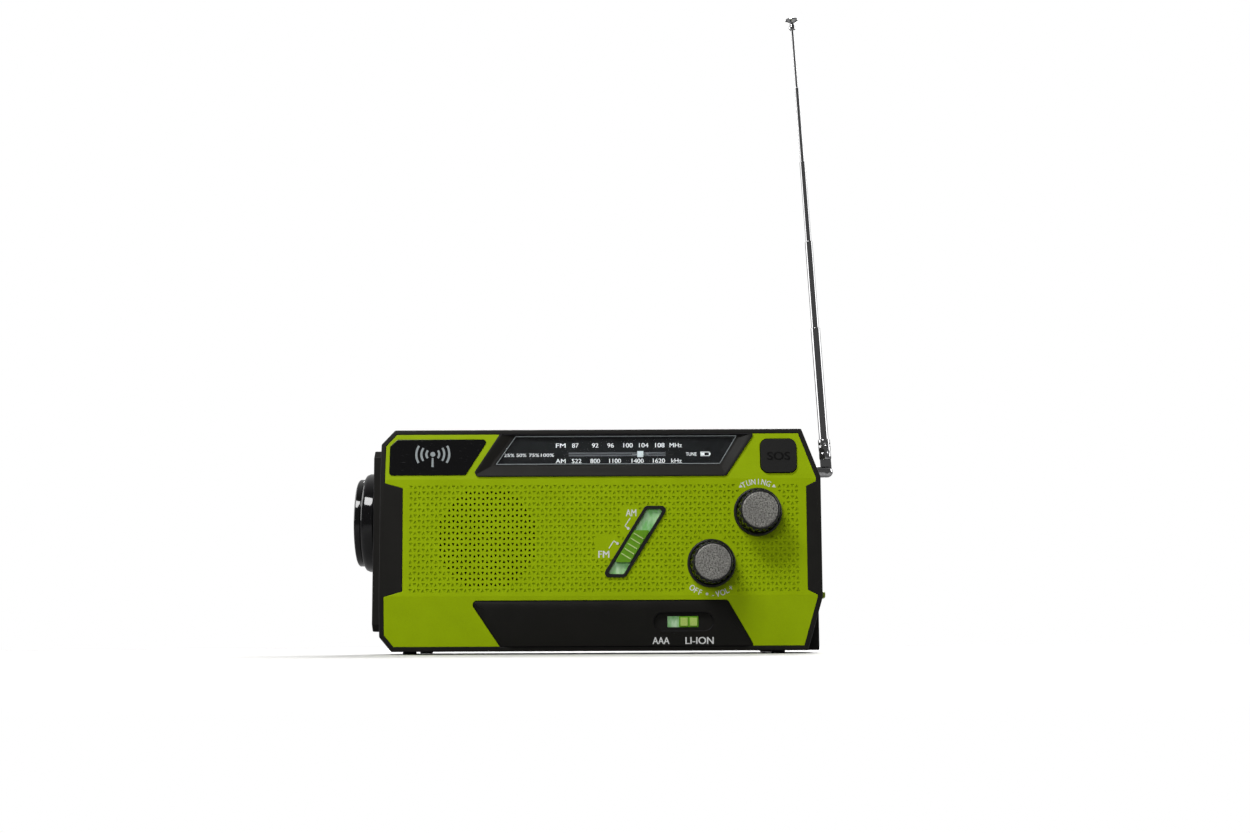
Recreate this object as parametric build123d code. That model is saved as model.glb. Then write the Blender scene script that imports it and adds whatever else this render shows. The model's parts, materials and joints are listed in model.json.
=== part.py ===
from build123d import *
import os
from math import acos, cos, hypot, pi, radians, sin, tan

# Hand-crank emergency radio, in millimetres. X runs to the right, Y from front to rear and Z up.
# The parts are drawn with Z = 0 at the underside of the case, and save() lifts them by the feet.

# ---- case ----
FOOT_HEIGHT = 1.0
HALF_WIDTH = 82.5
HEIGHT = 83.0
FRONT = -37.5
REAR = 37.5
SPLIT = -20.5              # depth where the front frame meets the rear shell
WALL = 2.2
RIM = 1.8                  # black rim of the frame around the green panel
CREASE_LOW, CREASE_HIGH = 20.5, 64.0
FACET_SETBACK = 3.0        # how far the upper and lower facets lean back at their edges
PANEL = 2.2                # thickness of the front panel
FIT = 0.05                 # clearance around a moving part

# ---- front controls ----
TUNING_X, TUNING_Z = 58.7, 51.3
VOLUME_X, VOLUME_Z = 41.2, 32.3
KNOB_RADIUS = 7.75         # over the ribs
KNOB_CORE = 7.3
KNOB_CAP = 6.65
KNOB_FRONT = FRONT - 12.8
KNOB_RIBS = 20
SHAFT_RADIUS = 3.0
SPEAKER_X, SPEAKER_Z = -42.3, 41.8
GRILLE_RADIUS = 18.9
TRIANGLE_STEP, TRIANGLE_ROW = 1.585, 2.14
DIAL_Z = 73.5
POINTER_X = 15.0
DRUM_RADIUS = 6.87         # pointer travel per radian of the tuning knob
POINTER_SLIT = 0.15        # half height of the slit that the pointer's stem runs in
BAND_X, BAND_Z = 12.95, 40.5
BAND_LEAN = 58.2           # degrees between the band switch and the horizontal
BAND_SLIDER, BAND_STEM = -2.1, -4.5      # along the band switch, from its middle
SOURCE_X, SOURCE_Z = 30.75, 10.75
SOURCE_STEM_X = 34.8
BOARD_Y = -17.0

# ---- ends ----
CAP_X = 72.0               # rear shell ends here and the crank end cap begins
CAP_FACE = 82.8
CRANK_Y, CRANK_Z = 6.0, 44.0
AXLE_RADIUS = 2.5
DISH_RADIUS = 25.0
DISH_FLOOR = 74.0
HINGE_X = 83.8             # of the folding crank arm
CRANK_PIN_RADIUS = 1.0
ARM_REACH = 24.0
KNOB_REACH = 18.0
STUD_RADIUS = 1.5          # of the stud that the crank knob turns on
GEAR_PLATE_X = 57.0
TORCH_Z = 50.3
TORCH_WELL_RADIUS = 16.5
TORCH_FACE = -87.4
ANTENNA_X, ANTENNA_Y, ANTENNA_Z = 91.4, 20.5, 71.7
ANTENNA_LEAN = 3.3
POST_RADIUS = 2.3
TUBE_RADII = (1.9, 1.55, 1.2, 0.9, 0.6)
JOINT_HEIGHTS = (13.5, 59.8, 96.3, 130.3, 162.3, 187.4)   # along the aerial, from its pivot
TUBE_OVERLAP = 4.0

# ---- gears ----
PRESSURE = radians(25)
CRANK_TEETH, IDLER_PINION_TEETH, CRANK_MODULE = 48, 12, 0.8
IDLER_WHEEL_TEETH, ROTOR_TEETH, ROTOR_MODULE = 40, 10, 0.6
IDLER_DIRECTION = -60
ROTOR_DIRECTION = 180

# ---- lid, door and cover ----
LID_SPAN = (-60.0, 40.0)
LID_MIDDLE = sum(LID_SPAN) / 2
LID_FRONT = -16.0
LID_HINGE = (24.2, 80.9)   # Y and Z
LID_RADIUS = 2.05          # of the rounded hinge edge
LID_PIN_RADIUS = 1.0
SOLAR_X_Y = ((-56.0, 36.0), (-12.5, 20.0))
LAMP_X_Y = ((-50.0, 30.0), (-9.0, 11.0))
DOOR_X = (-82.5, -20.0)
DOOR_Z = (12.5, 47.5)
DOOR_THICKNESS = 1.6
AAA_ROWS = (19.4, 30.2, 41.0)
COVER_X, COVER_Z = (8.0, 42.0), (14.0, 28.0)
COVER_HINGE = (COVER_X[0] + 1.15, REAR - 1.1)
COVER_PIN_RADIUS = 0.5
BOSS_RADIUS = 4.6
SCREW_PLACES = [(x, z) for x in (-76.0, 52.0) for z in (7.0, 76.0)]


# ---- places that follow from the driving values ----
IDLER_GAP = (CRANK_TEETH + IDLER_PINION_TEETH) * CRANK_MODULE / 2
IDLER_Y = CRANK_Y + IDLER_GAP * cos(radians(IDLER_DIRECTION))
IDLER_Z = CRANK_Z + IDLER_GAP * sin(radians(IDLER_DIRECTION))
ROTOR_GAP = (IDLER_WHEEL_TEETH + ROTOR_TEETH) * ROTOR_MODULE / 2
ROTOR_Y = IDLER_Y + ROTOR_GAP * cos(radians(ROTOR_DIRECTION))
ROTOR_Z = IDLER_Z + ROTOR_GAP * sin(radians(ROTOR_DIRECTION))
FEET = [(x, y) for x in (-72.0, 66.5) for y in (-27.0, 29.0)]
CAP_SCREWS = [(y, z) for y in (-15.0, 32.0) for z in (8.0, 56.0)]
LEANING = Pos(ANTENNA_X, ANTENNA_Y, ANTENNA_Z) * Rot(0, -ANTENNA_LEAN, 0)
FRONT_FEET = [place for place in FEET if place[1] < SPLIT]
REAR_FEET = [place for place in FEET if place[1] > SPLIT]


def wider(span, margin):
    return span[0] - margin, span[1] + margin


def block(x, y, z):
    size = [high - low for low, high in (x, y, z)]
    middle = [(low + high) / 2 for low, high in (x, y, z)]
    return Pos(*middle) * Box(*size)


def rod(axis, centre, radius, start, end):
    """Cylinder along an axis. centre holds the two other coordinates, in X, Y, Z order."""
    a, b = centre
    middle = (start + end) / 2
    place = {"X": (middle, a, b), "Y": (a, middle, b), "Z": (a, b, middle)}[axis]
    turn = {"X": (0, 90, 0), "Y": (90, 0, 0), "Z": (0, 0, 0)}[axis]
    return Pos(*place) * Rot(*turn) * Cylinder(radius, end - start)


def turned(axis, centre, profile):
    """Solid of revolution from (distance along the axis, radius) points."""
    a, b = centre
    face = Plane.XZ * Polygon(*[(radius, along) for along, radius in profile], align=None)
    place = {"X": (0, a, b), "Y": (a, 0, b), "Z": (a, b, 0)}[axis]
    turn = {"X": (0, 90, 0), "Y": (-90, 0, 0), "Z": (0, 0, 0)}[axis]
    return Pos(*place) * Rot(*turn) * revolve(face, Axis.Z, 360)


def outline(points, corner=0.0):
    face = Polygon(*points, align=None)
    return fillet(face.vertices(), corner) if corner else face


def rectangle(x, z):
    return [(x[0], z[0]), (x[1], z[0]), (x[1], z[1]), (x[0], z[1])]


def depth_plane(y):
    """X-Z drawing plane at a depth."""
    return Plane(origin=(0, y, 0), x_dir=(1, 0, 0), z_dir=(0, -1, 0))


def through(face, front, rear):
    """Extrude an X-Z outline along Y."""
    return extrude(depth_plane(rear) * face, amount=rear - front, dir=(0, -1, 0))


def across(face, left, right):
    """Extrude a Y-Z outline along X."""
    return extrude(Plane.YZ.offset(left) * face, amount=right - left, dir=(1, 0, 0))


def front_y(z):
    """Depth of the folded front face at a height."""
    if z > CREASE_HIGH:
        return FRONT + FACET_SETBACK * (z - CREASE_HIGH) / (HEIGHT - CREASE_HIGH)
    if z < CREASE_LOW:
        return FRONT + FACET_SETBACK * (CREASE_LOW - z) / CREASE_LOW
    return FRONT


def behind_front(inset):
    """Everything behind the folded front face, moved back by inset."""
    low, high, back = -10.0, HEIGHT + 10.0, 60.0
    points = [(front_y(z) + inset, z) for z in (low, CREASE_LOW, CREASE_HIGH, high)]
    return across(outline(points + [(back, high), (back, low)]), -110, 110)


def skin(face, start, end):
    """Plate with an X-Z outline that follows the folded front between two insets."""
    return (through(face, FRONT - 30, FRONT + 45) & behind_front(start)) - behind_front(end)


def ramped(foot, top, foot_inset, top_inset):
    """Solid between two X-Z outlines with matching corners, laid on one facet at two insets."""
    faces = []
    for points, inset in ((foot, foot_inset), (top, top_inset)):
        faces.append(make_face(Polyline(*[(x, front_y(z) + inset, z) for x, z in points], close=True)))
    return loft(faces, ruled=True)


def involute(angle):
    return tan(angle) - angle


def gear_face(teeth, module, first_tooth, backlash=0.14):
    """Involute gear outline with one tooth centred on the angle first_tooth, in degrees."""
    pitch = teeth * module / 2
    base = pitch * cos(PRESSURE)
    tip = pitch + 0.85 * module
    root = pitch - 1.15 * module
    half = pi / (2 * teeth) - backlash / (2 * pitch) + involute(PRESSURE)
    at_pitch, at_tip = half - involute(PRESSURE), half - involute(acos(base / tip))
    flank = [(max(base, root), half), (pitch, at_pitch), (tip, at_tip)]
    side = [(root, half)] * (root < base - 0.01) + flank
    points = []
    for tooth in range(teeth):
        centre = radians(first_tooth) + 2 * pi * tooth / teeth
        for radius, angle in side:
            points.append((radius * cos(centre - angle), radius * sin(centre - angle)))
        for radius, angle in reversed(side):
            points.append((radius * cos(centre + angle), radius * sin(centre + angle)))
    return Polygon(*points, align=None)


def gear(teeth, module, first_tooth, centre, left, right):
    return Pos(0, *centre) * across(gear_face(teeth, module, first_tooth), left, right)


def save(name, pieces):
    """Write one sub-part, which is a solid or a list of separate solids, standing on its feet."""
    pieces = pieces if isinstance(pieces, list) else [pieces]
    lifted = [Pos(0, 0, FOOT_HEIGHT) * solid for piece in pieces for solid in piece.solids()]
    export_step(lifted[0] if len(lifted) == 1 else Compound(children=lifted), f"parts/{name}.step")


# ---- shared outlines of the front ----
FRAME_LINE = outline([
    (-78, 0), (77, 0), (HALF_WIDTH, 19.5), (HALF_WIDTH, 64.5),
    (75.8, HEIGHT), (-77.5, HEIGHT), (-HALF_WIDTH, 77.5), (-HALF_WIDTH, 5.5),
])
INSIDE_RIM = offset(FRAME_LINE, amount=-RIM, kind=Kind.INTERSECTION)
REAR_LINE = outline([
    (-78, 0), (CAP_X, 0), (CAP_X, HEIGHT), (-77.5, HEIGHT), (-HALF_WIDTH, 77.5), (-HALF_WIDTH, 5.5),
])
LEFT_NOTCH = outline([(-81.5, 20.1), (-73.8, 22.3), (-74.0, 60.8), (-81.5, 62.9)])
RIGHT_NOTCH = outline([(81.5, 20.1), (77.0, 22.3), (77.0, 61.0), (81.5, 63.2)])
DIAL_TRIM = outline([(-48.3, 65.0), (47.0, 65.0), (58.8, 82.4), (-37.2, 82.4)], 1.6)
DIAL_SLOPE_TOP = [(-47.0, 65.7), (46.6, 65.7), (56.9, 81.0), (-37.2, 81.0)]
DIAL_SLOPE_FOOT = [(-41.0, 68.8), (45.3, 68.8), (52.6, 81.0), (-32.6, 81.0)]
WINDOW = outline([(-39.8, 69.5), (45.0, 69.5), (51.7, 80.6), (-32.2, 80.6)], 0.5)
SWITCH_CORNERS = [(-36.8, 0.6), (57.8, 0.6), (47.2, 18.8), (-49.0, 18.8)]
SWITCH_PLATEAU = [(-32.1, 0.6), (54.2, 0.6), (45.6, 15.3), (-41.9, 15.3)]
SWITCH_TRIM = outline(SWITCH_CORNERS, 1.6)
BADGE = outline([(-79.2, 65.6), (-50.6, 65.6), (-42.2, 79.3), (-76.5, 79.3), (-79.2, 76.6)], 1.2)
SOURCE_SLOT = outline(rectangle((24.7, 36.3), (8.7, 12.8)))
SOS = outline(rectangle((60.2, 73.6), (66.1, 79.0)), 2.8)
SOS_GAP = outline(rectangle((60.0, 73.8), (65.9, 79.2)), 3.0)
SPEAKER_TRIANGLES = [
    (column, row)
    for column in range(-12, 13)
    for row in range(-9, 10)
    if hypot(column * TRIANGLE_STEP, row * TRIANGLE_ROW) < GRILLE_RADIUS
]


def slanted(half_length, half_width):
    """Parallelogram of the band switch: it leans to the right and its ends are level."""
    reach = half_length * cos(radians(BAND_LEAN))
    rise = half_length * sin(radians(BAND_LEAN))
    side = half_width / sin(radians(BAND_LEAN))
    points = [(-reach - side, -rise), (-reach + side, -rise), (reach + side, rise), (reach - side, rise)]
    return [(BAND_X + x, BAND_Z + z) for x, z in points]


def pill(centre_x, centre_z, length, height):
    return Pos(centre_x, centre_z) * SlotOverall(length, height)


BAND_OUTER = outline(slanted(15.6, 3.8), 1.6)
BAND_INNER = outline(slanted(14.2, 2.6), 0.8)


def front_frame():
    ledge_line = offset(FRAME_LINE, amount=-RIM - 1.5, kind=Kind.INTERSECTION)
    shell = through(FRAME_LINE, FRONT - 1, SPLIT) & behind_front(0)
    shell -= through(INSIDE_RIM, FRONT - 2, SPLIT + 1)
    ledge = skin(INSIDE_RIM, PANEL, PANEL + 1.6) - through(ledge_line, FRONT - 2, SPLIT)
    notches = skin(LEFT_NOTCH, 0, PANEL) + skin(RIGHT_NOTCH, 0, PANEL)
    frame = shell + ledge + notches
    for x, z in SCREW_PLACES:
        post = rod("Y", (x, z), 3.6, FRONT + 6.5, SPLIT) - rod("Y", (x, z), 1.4, FRONT + 7.5, SPLIT)
        arm_z = (0.5, z) if z < HEIGHT / 2 else (z, HEIGHT - 0.5)
        web = block((x - 0.8, x + 0.8), (FRONT + 8, SPLIT), arm_z) - rod("Y", (x, z), 1.4, FRONT, SPLIT)
        frame += post + web
    for place in FRONT_FEET:
        frame -= rod("Z", place, 1.5, -1, 1.4)
    return frame


def triangle(x, z, up, width=1.08, height=1.12):
    tip = height / 2 if up else -height / 2
    return Polygon((x - width / 2, z - tip), (x + width / 2, z - tip), (x, z + tip), align=None)


def front_panel():
    openings = LEFT_NOTCH + RIGHT_NOTCH + DIAL_TRIM + SWITCH_TRIM + SOS_GAP + BAND_INNER
    openings += Pos(TUNING_X, TUNING_Z) * Circle(SHAFT_RADIUS + 0.2)
    openings += Pos(VOLUME_X, VOLUME_Z) * Circle(SHAFT_RADIUS + 0.2)
    panel = skin(INSIDE_RIM, 0, PANEL) - through(openings, FRONT - 5, FRONT + 12)
    panel -= skin(BADGE, -3, 0.8)
    holes = Sketch() + [
        triangle(SPEAKER_X + column * TRIANGLE_STEP, SPEAKER_Z + row * TRIANGLE_ROW, (column + row) % 2 == 0)
        for column, row in SPEAKER_TRIANGLES
    ]
    return panel - through(holes, FRONT - 1, FRONT + 5)


def rear_shell():
    inner = outline([
        (-77, WALL), (CAP_X - WALL, WALL), (CAP_X - WALL, HEIGHT - WALL), (-76.6, HEIGHT - WALL),
        (-HALF_WIDTH + WALL, 76.6), (-HALF_WIDTH + WALL, 6.4),
    ])
    rear_wall = 3.0
    shell = through(REAR_LINE, SPLIT, REAR) - through(inner, SPLIT - 1, REAR - rear_wall)
    # well under the solar lid, with a finger notch in front of it
    well = block(wider(LID_SPAN, 2), (LID_FRONT - 2.3, 28.0), (73.5, HEIGHT - 1))
    hollow = block(wider(LID_SPAN, 0.3), (LID_FRONT - 0.3, 26.5), (75.0, HEIGHT + 1))
    shell = shell + well - hollow
    shell -= rod("X", LID_HINGE, LID_PIN_RADIUS, *wider(LID_SPAN, 1.8))
    shell -= block((LID_MIDDLE - 8, LID_MIDDLE + 8), (LID_FRONT - 4.5, LID_FRONT), (HEIGHT - 1.2, HEIGHT + 1))
    # deep screw bosses
    for x, z in SCREW_PLACES:
        shell += rod("Y", (x, z), BOSS_RADIUS, SPLIT, REAR - 1)
    for x, z in SCREW_PLACES:
        shell -= rod("Y", (x, z), 3.0, -10, REAR + 1) + rod("Y", (x, z), 1.6, SPLIT - 1, REAR)
    # battery compartment, and the rails of its sliding door
    bay_x, bay_z = (-75.0, -22.0), (14.0, 46.4)
    shell += block(wider(bay_x, 1), (21.5, REAR - 2), wider(bay_z, 1.2)) - block(bay_x, (22.7, REAR), bay_z)
    shell -= block(bay_x, (REAR - 4, REAR + 1), bay_z)
    run = (DOOR_X[0] - 1, DOOR_X[1] + 0.1)
    shell -= block(run, (REAR - DOOR_THICKNESS, REAR + 1), wider(DOOR_Z, 0.1))
    shell -= block(run, (REAR - 1.3, REAR - 0.6), wider(DOOR_Z, 1.1))
    # socket recess behind the hinged cover, with a thumb notch at its free edge
    shell -= block(wider(COVER_X, 0.1), (REAR - 2.2, REAR + 1), wider(COVER_Z, 0.1))
    shell -= block((COVER_X[0] + 3, COVER_X[1] - 2), (REAR - 4, REAR), wider(COVER_Z, -1.5))
    shell -= block((COVER_X[1] - 3, COVER_X[1] + 3), (REAR - 1.4, REAR + 1), wider(COVER_Z, -4.5))
    shell -= rod("Z", COVER_HINGE, COVER_PIN_RADIUS, *wider(COVER_Z, 1.5))
    # torch well on the left, axle and pin holes on the right
    shell -= rod("X", (0, TORCH_Z), TORCH_WELL_RADIUS, -90, -75)
    shell -= rod("X", (CRANK_Y, CRANK_Z), AXLE_RADIUS + FIT, 60, 80)
    shell -= rod("X", (IDLER_Y, IDLER_Z), 1.5, 60, CAP_X - 0.8)
    for place in REAR_FEET:
        shell -= rod("Z", place, 1.5, -1, 1.4)
    for y, z in CAP_SCREWS:
        shell -= rod("X", (y, z), 1.2, 60, 80)
    return shell


def light_end_cap():
    line = outline([
        (SPLIT, 10.1), (SPLIT + 2.5, 7.6), (21.5, 7.6), (24.0, 10.1),
        (24.0, 74.3), (21.5, 76.8), (SPLIT + 2.5, 76.8), (SPLIT, 74.3),
    ])
    cap = across(line, TORCH_FACE, -HALF_WIDTH)
    return cap - rod("X", (0, TORCH_Z), TORCH_WELL_RADIUS, -90, -75)


def torch_body():
    inner, outer = 15.6, 19.3
    return turned("X", (0, TORCH_Z), [
        (TORCH_FACE, inner), (TORCH_FACE, outer - 0.6), (TORCH_FACE - 0.6, outer), (TORCH_FACE - 3.6, outer),
        (TORCH_FACE - 4.8, outer - 0.5), (TORCH_FACE - 5.5, outer - 1.6), (TORCH_FACE - 5.7, inner),
    ])


def torch_bezel():
    face = TORCH_FACE - 5.7
    return turned("X", (0, TORCH_Z), [
        (face, 14.6), (face, 17.1), (face - 1.9, 17.1), (face - 2.4, 16.6), (face - 2.4, 15.4),
        (face - 1.0, 14.6),
    ])


def torch_lens():
    face = TORCH_FACE - 5.7
    return rod("X", (0, TORCH_Z), 15.4, face, face + 1.2)


def torch_reflector():
    """Parabolic bowl: the radius grows with the square root of the distance from its focus end."""
    mouth, depth, wall = TORCH_FACE - 4.5, 12.0, 0.9
    inner = [(mouth + depth * (1 - s * s), 14.6 * s) for s in (1, 0.85, 0.7, 0.55, 0.4, 0.25)]
    outer = [(x + 0.2, r + wall) for x, r in reversed(inner)]
    outer[-1] = (mouth, 14.6 + wall)
    return turned("X", (0, TORCH_Z), inner + outer)


def torch_led_board():
    left = TORCH_FACE + 8.4
    board = rod("X", (0, TORCH_Z), 9.0, left, left + 1.6)
    return board + rod("X", (0, TORCH_Z), 1.6, left - 1.2, left)


def crank_end_cap():
    side_line = outline([(SPLIT, 0), (REAR, 0), (REAR, HEIGHT), (SPLIT, HEIGHT)])
    top_cut = outline([(76.0, HEIGHT + 1), (CAP_FACE + 1, 62.0), (CAP_FACE + 1, HEIGHT + 1)])
    cap = across(side_line, CAP_X, CAP_FACE) - through(top_cut, SPLIT - 1, REAR + 1)
    pocket = block((CAP_X - 1, CAP_FACE - 2), (SPLIT + 2, REAR - 2), (2, 60))
    keep = rod("X", (CRANK_Y, CRANK_Z), DISH_RADIUS + 2, CAP_X - 1, CAP_FACE)
    for y, z in CAP_SCREWS:
        keep += rod("X", (y, z), 3.0, CAP_X - 1, CAP_FACE)
    pocket += block((CAP_X - 1, 75.5), (SPLIT + 2, REAR - 2), (59, 80.8))
    cap -= pocket - keep
    cap -= rod("X", (CRANK_Y, CRANK_Z), DISH_RADIUS, DISH_FLOOR, CAP_FACE + 1)
    cap -= rod("X", (CRANK_Y, CRANK_Z), AXLE_RADIUS + FIT, CAP_X - 1, DISH_FLOOR + 1)
    boss = rod("X", (ANTENNA_Y, ANTENNA_Z), 4.2, 76.5, CAP_FACE + 1.0)
    boss -= rod("X", (CRANK_Y, CRANK_Z), DISH_RADIUS, DISH_FLOOR, CAP_FACE + 1)
    cap += boss
    cap -= rod("X", (ANTENNA_Y, ANTENNA_Z), POST_RADIUS + FIT, CAP_X - 1, CAP_FACE + 3)
    cap -= rod("X", (ANTENNA_Y, ANTENNA_Z), 4.6, CAP_X - 1, 76.4)
    for y, z in CAP_SCREWS:
        cap -= rod("X", (y, z), 1.2, CAP_X - 1, CAP_FACE - 3)
    return cap


def switch_trim():
    """Trim of the supply switch: a plateau with sloping borders, and a pill recess with an upright floor."""
    recess_length, height = 22.2, 6.8
    floor = front_y(SOURCE_Z - height / 2) + 0.05
    plateau = ramped(SWITCH_CORNERS, SWITCH_PLATEAU, 0.5, -0.9) & skin(SWITCH_TRIM, -1, 1)
    trim = skin(SWITCH_TRIM, 0.4, PANEL) + plateau
    trim &= through(INSIDE_RIM, FRONT - 5, FRONT + 10)
    trim -= through(pill(SOURCE_X, SOURCE_Z, recess_length, height), FRONT - 5, floor)
    return trim - skin(SOURCE_SLOT, -3, 5)


def dial_bezel():
    """Trim of the dial: its border slopes down from the outer edge to the window."""
    opening = offset(WINDOW, amount=-0.5)
    trim = skin(DIAL_TRIM, -0.8, PANEL) & through(INSIDE_RIM, FRONT - 5, FRONT + 10)
    trim -= ramped(DIAL_SLOPE_FOOT, DIAL_SLOPE_TOP, 0.5, -0.8)
    return trim - skin(DIAL_TRIM, -3, -0.79) - skin(WINDOW, -3, 0.8) - skin(opening, -3, 5)


def dial_window():
    return skin(WINDOW, 0.2, 0.8)


def dial_scale():
    inside = offset(WINDOW, amount=-0.55)
    slit = outline(rectangle((-13.5, 27.5), (DIAL_Z - POINTER_SLIT, DIAL_Z + POINTER_SLIT)))
    return skin(inside, 1.5, 2.1) - skin(slit, -3, 5)


def dial_pointer():
    """Square head in front of the scale, a thin stem through its slit and the carriage behind it."""
    head, stem, carriage = [
        skin(Pos(POINTER_X, DIAL_Z) * Rectangle(width, height), start, end)
        for width, height, start, end in (
            (2.3, 2.3, 0.95, 1.35), (2.0, 2 * POINTER_SLIT - 0.08, 1.3, 3.4), (6.0, 3.0, 3.2, 4.6),
        )
    ]
    return head + stem + carriage


def badge_plate():
    return skin(BADGE, -0.4, 0.8)


def sos_button():
    flange = outline(rectangle((59.4, 74.4), (65.3, 79.8)), 2.0)
    return skin(SOS, -1.0, PANEL + 2.7) + skin(flange, PANEL + 1.7, PANEL + 2.7)


def knob(x, z):
    base = FRONT - 0.4
    body = turned("Y", (x, z), [
        (base, 0), (base, KNOB_CORE), (KNOB_FRONT + 0.4, KNOB_CORE), (KNOB_FRONT, KNOB_CORE - 0.25),
        (KNOB_FRONT, 0),
    ])
    rib = block((x - 0.55, x + 0.55), (KNOB_FRONT + 0.7, base), (z + KNOB_CORE - 0.5, z + KNOB_RADIUS))
    for index in range(KNOB_RIBS):
        body += Pos(x, 0, z) * Rot(0, 360 / KNOB_RIBS * index, 0) * Pos(-x, 0, -z) * rib
    body -= rod("Y", (x, z), KNOB_CAP, KNOB_FRONT - 1, KNOB_FRONT + 0.8)
    return body - rod("Y", (x, z), SHAFT_RADIUS, KNOB_FRONT + 4, base + 1)


def knob_cap(x, z):
    back, front = KNOB_FRONT + 0.8, KNOB_FRONT - 0.35
    return turned("Y", (x, z), [
        (back, 0), (back, KNOB_CAP), (front + 0.5, KNOB_CAP), (front + 0.1, KNOB_CAP - 0.4),
        (front, KNOB_CAP - 1.3), (front, 0),
    ])


def main_board():
    board = block((-16, 68), (BOARD_Y, BOARD_Y + 1.6), (6, 71))
    for x, z in SCREW_PLACES:
        board -= rod("Y", (x, z), BOSS_RADIUS + 0.3, -30, 0)
    return board


def along_band(distance):
    """X and Z of a point on the band switch's middle line."""
    return BAND_X + distance * cos(radians(BAND_LEAN)), BAND_Z + distance * sin(radians(BAND_LEAN))


def band_slider():
    shift = Pos(BAND_SLIDER * cos(radians(BAND_LEAN)), BAND_SLIDER * sin(radians(BAND_LEAN)))
    grip = through(shift * outline(slanted(7.0, 2.45), 0.5), FRONT - 1.2, FRONT + 0.65)
    for index in range(5):
        x, z = along_band(BAND_SLIDER + (index - 2) * 2.2)
        grip += Pos(x, FRONT - 1.2, z) * Rot(0, 90 - BAND_LEAN, 0) * Box(4.4, 0.6, 0.45)
    return grip + rod("Y", along_band(BAND_STEM), 0.7, FRONT + 0.6, BOARD_Y - 5)


def source_slider():
    """Slider of the supply switch, with two raised pads."""
    grip = skin(outline(rectangle((29.05, 36.25), (8.75, 12.75)), 0.3), 0.2, 1.05)
    for x in (30.9, 34.4):
        pad = rectangle((x - 1.45, x + 1.45), (SOURCE_Z - 1.6, SOURCE_Z + 1.6))
        grip += skin(outline(pad, 0.3), -0.2, 0.4)
    return grip + rod("Y", (SOURCE_STEM_X, SOURCE_Z), 0.6, front_y(SOURCE_Z) + 0.9, BOARD_Y - 9)


def ferrite_rod():
    return rod("X", (-10, 67.5), 4.0, -62, 0)


def aaa_cells():
    cells = []
    for row, z in enumerate(AAA_ROWS):
        start, way = (-71.6, 1) if row % 2 else (-26.4, -1)
        ends = sorted((start, start + way * 43.5))
        nub = sorted((start + way * 43.5, start + way * 44.5))
        cells.append(rod("X", (28.6, z), 5.25, *ends) + rod("X", (28.6, z), 1.9, *nub))
    return cells


def battery_door():
    door = block(DOOR_X, (REAR - DOOR_THICKNESS, REAR), DOOR_Z)
    door += block(DOOR_X, (REAR - 1.2, REAR - 0.7), wider(DOOR_Z, 1))
    for index in range(5):
        x = DOOR_X[1] - 6 - 2.4 * index
        door -= block((x, x + 1.0), (REAR - 0.5, REAR + 1), (22, 38))
    return door


def lithium_cell():
    return rod("X", (8, 13), 9.1, -60, 4) + rod("X", (8, 13), 3.0, 4, 5)


def port_cover():
    x, y = COVER_HINGE
    cover = block((x, COVER_X[1]), (REAR - 2.2, REAR), COVER_Z) + rod("Z", (x, y), 1.05, *COVER_Z)
    cover -= block((COVER_X[1] - 2.5, COVER_X[1] + 1), (REAR - 3, REAR - 0.8), wider(COVER_Z, -5))
    return cover - rod("Z", (x, y), COVER_PIN_RADIUS + FIT, *wider(COVER_Z, 1))


def solar_lid():
    lid = block(LID_SPAN, (LID_FRONT, LID_HINGE[0]), (HEIGHT - 4, HEIGHT))
    lid += rod("X", LID_HINGE, LID_RADIUS, *LID_SPAN)
    lid -= block(*SOLAR_X_Y, (HEIGHT - 1.0, HEIGHT + 1))
    lid -= block(*LAMP_X_Y, (HEIGHT - 5, HEIGHT - 2.4))
    for end in LID_SPAN:
        lid -= rod("X", LID_HINGE, LID_PIN_RADIUS + FIT, end - 6, end + 6)
    return lid


def solar_cell():
    return block(*SOLAR_X_Y, (HEIGHT - 1.0, HEIGHT - 0.2))


def reading_lamp_lens():
    return block(*LAMP_X_Y, (HEIGHT - 4, HEIGHT - 3.1))


def crank_hub():
    hub = rod("X", (CRANK_Y, CRANK_Z), 9.0, DISH_FLOOR + 0.3, 79.9)
    for side in (-1, 1):
        y = sorted((CRANK_Y + side * 3.9, CRANK_Y + side * 7.2))
        hub += block((79.5, HINGE_X), y, (CRANK_Z - 2.5, CRANK_Z + 2.5))
        hub += rod("Y", (HINGE_X, CRANK_Z), 2.5, *y)
    hub += rod("X", (CRANK_Y, CRANK_Z), AXLE_RADIUS, GEAR_PLATE_X, 79)
    return hub - rod("Y", (HINGE_X, CRANK_Z), CRANK_PIN_RADIUS, CRANK_Y - 10, CRANK_Y + 10)


def crank_hinge_pin():
    return rod("Y", (HINGE_X, CRANK_Z), CRANK_PIN_RADIUS, CRANK_Y - 7.2, CRANK_Y + 7.2)


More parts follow.
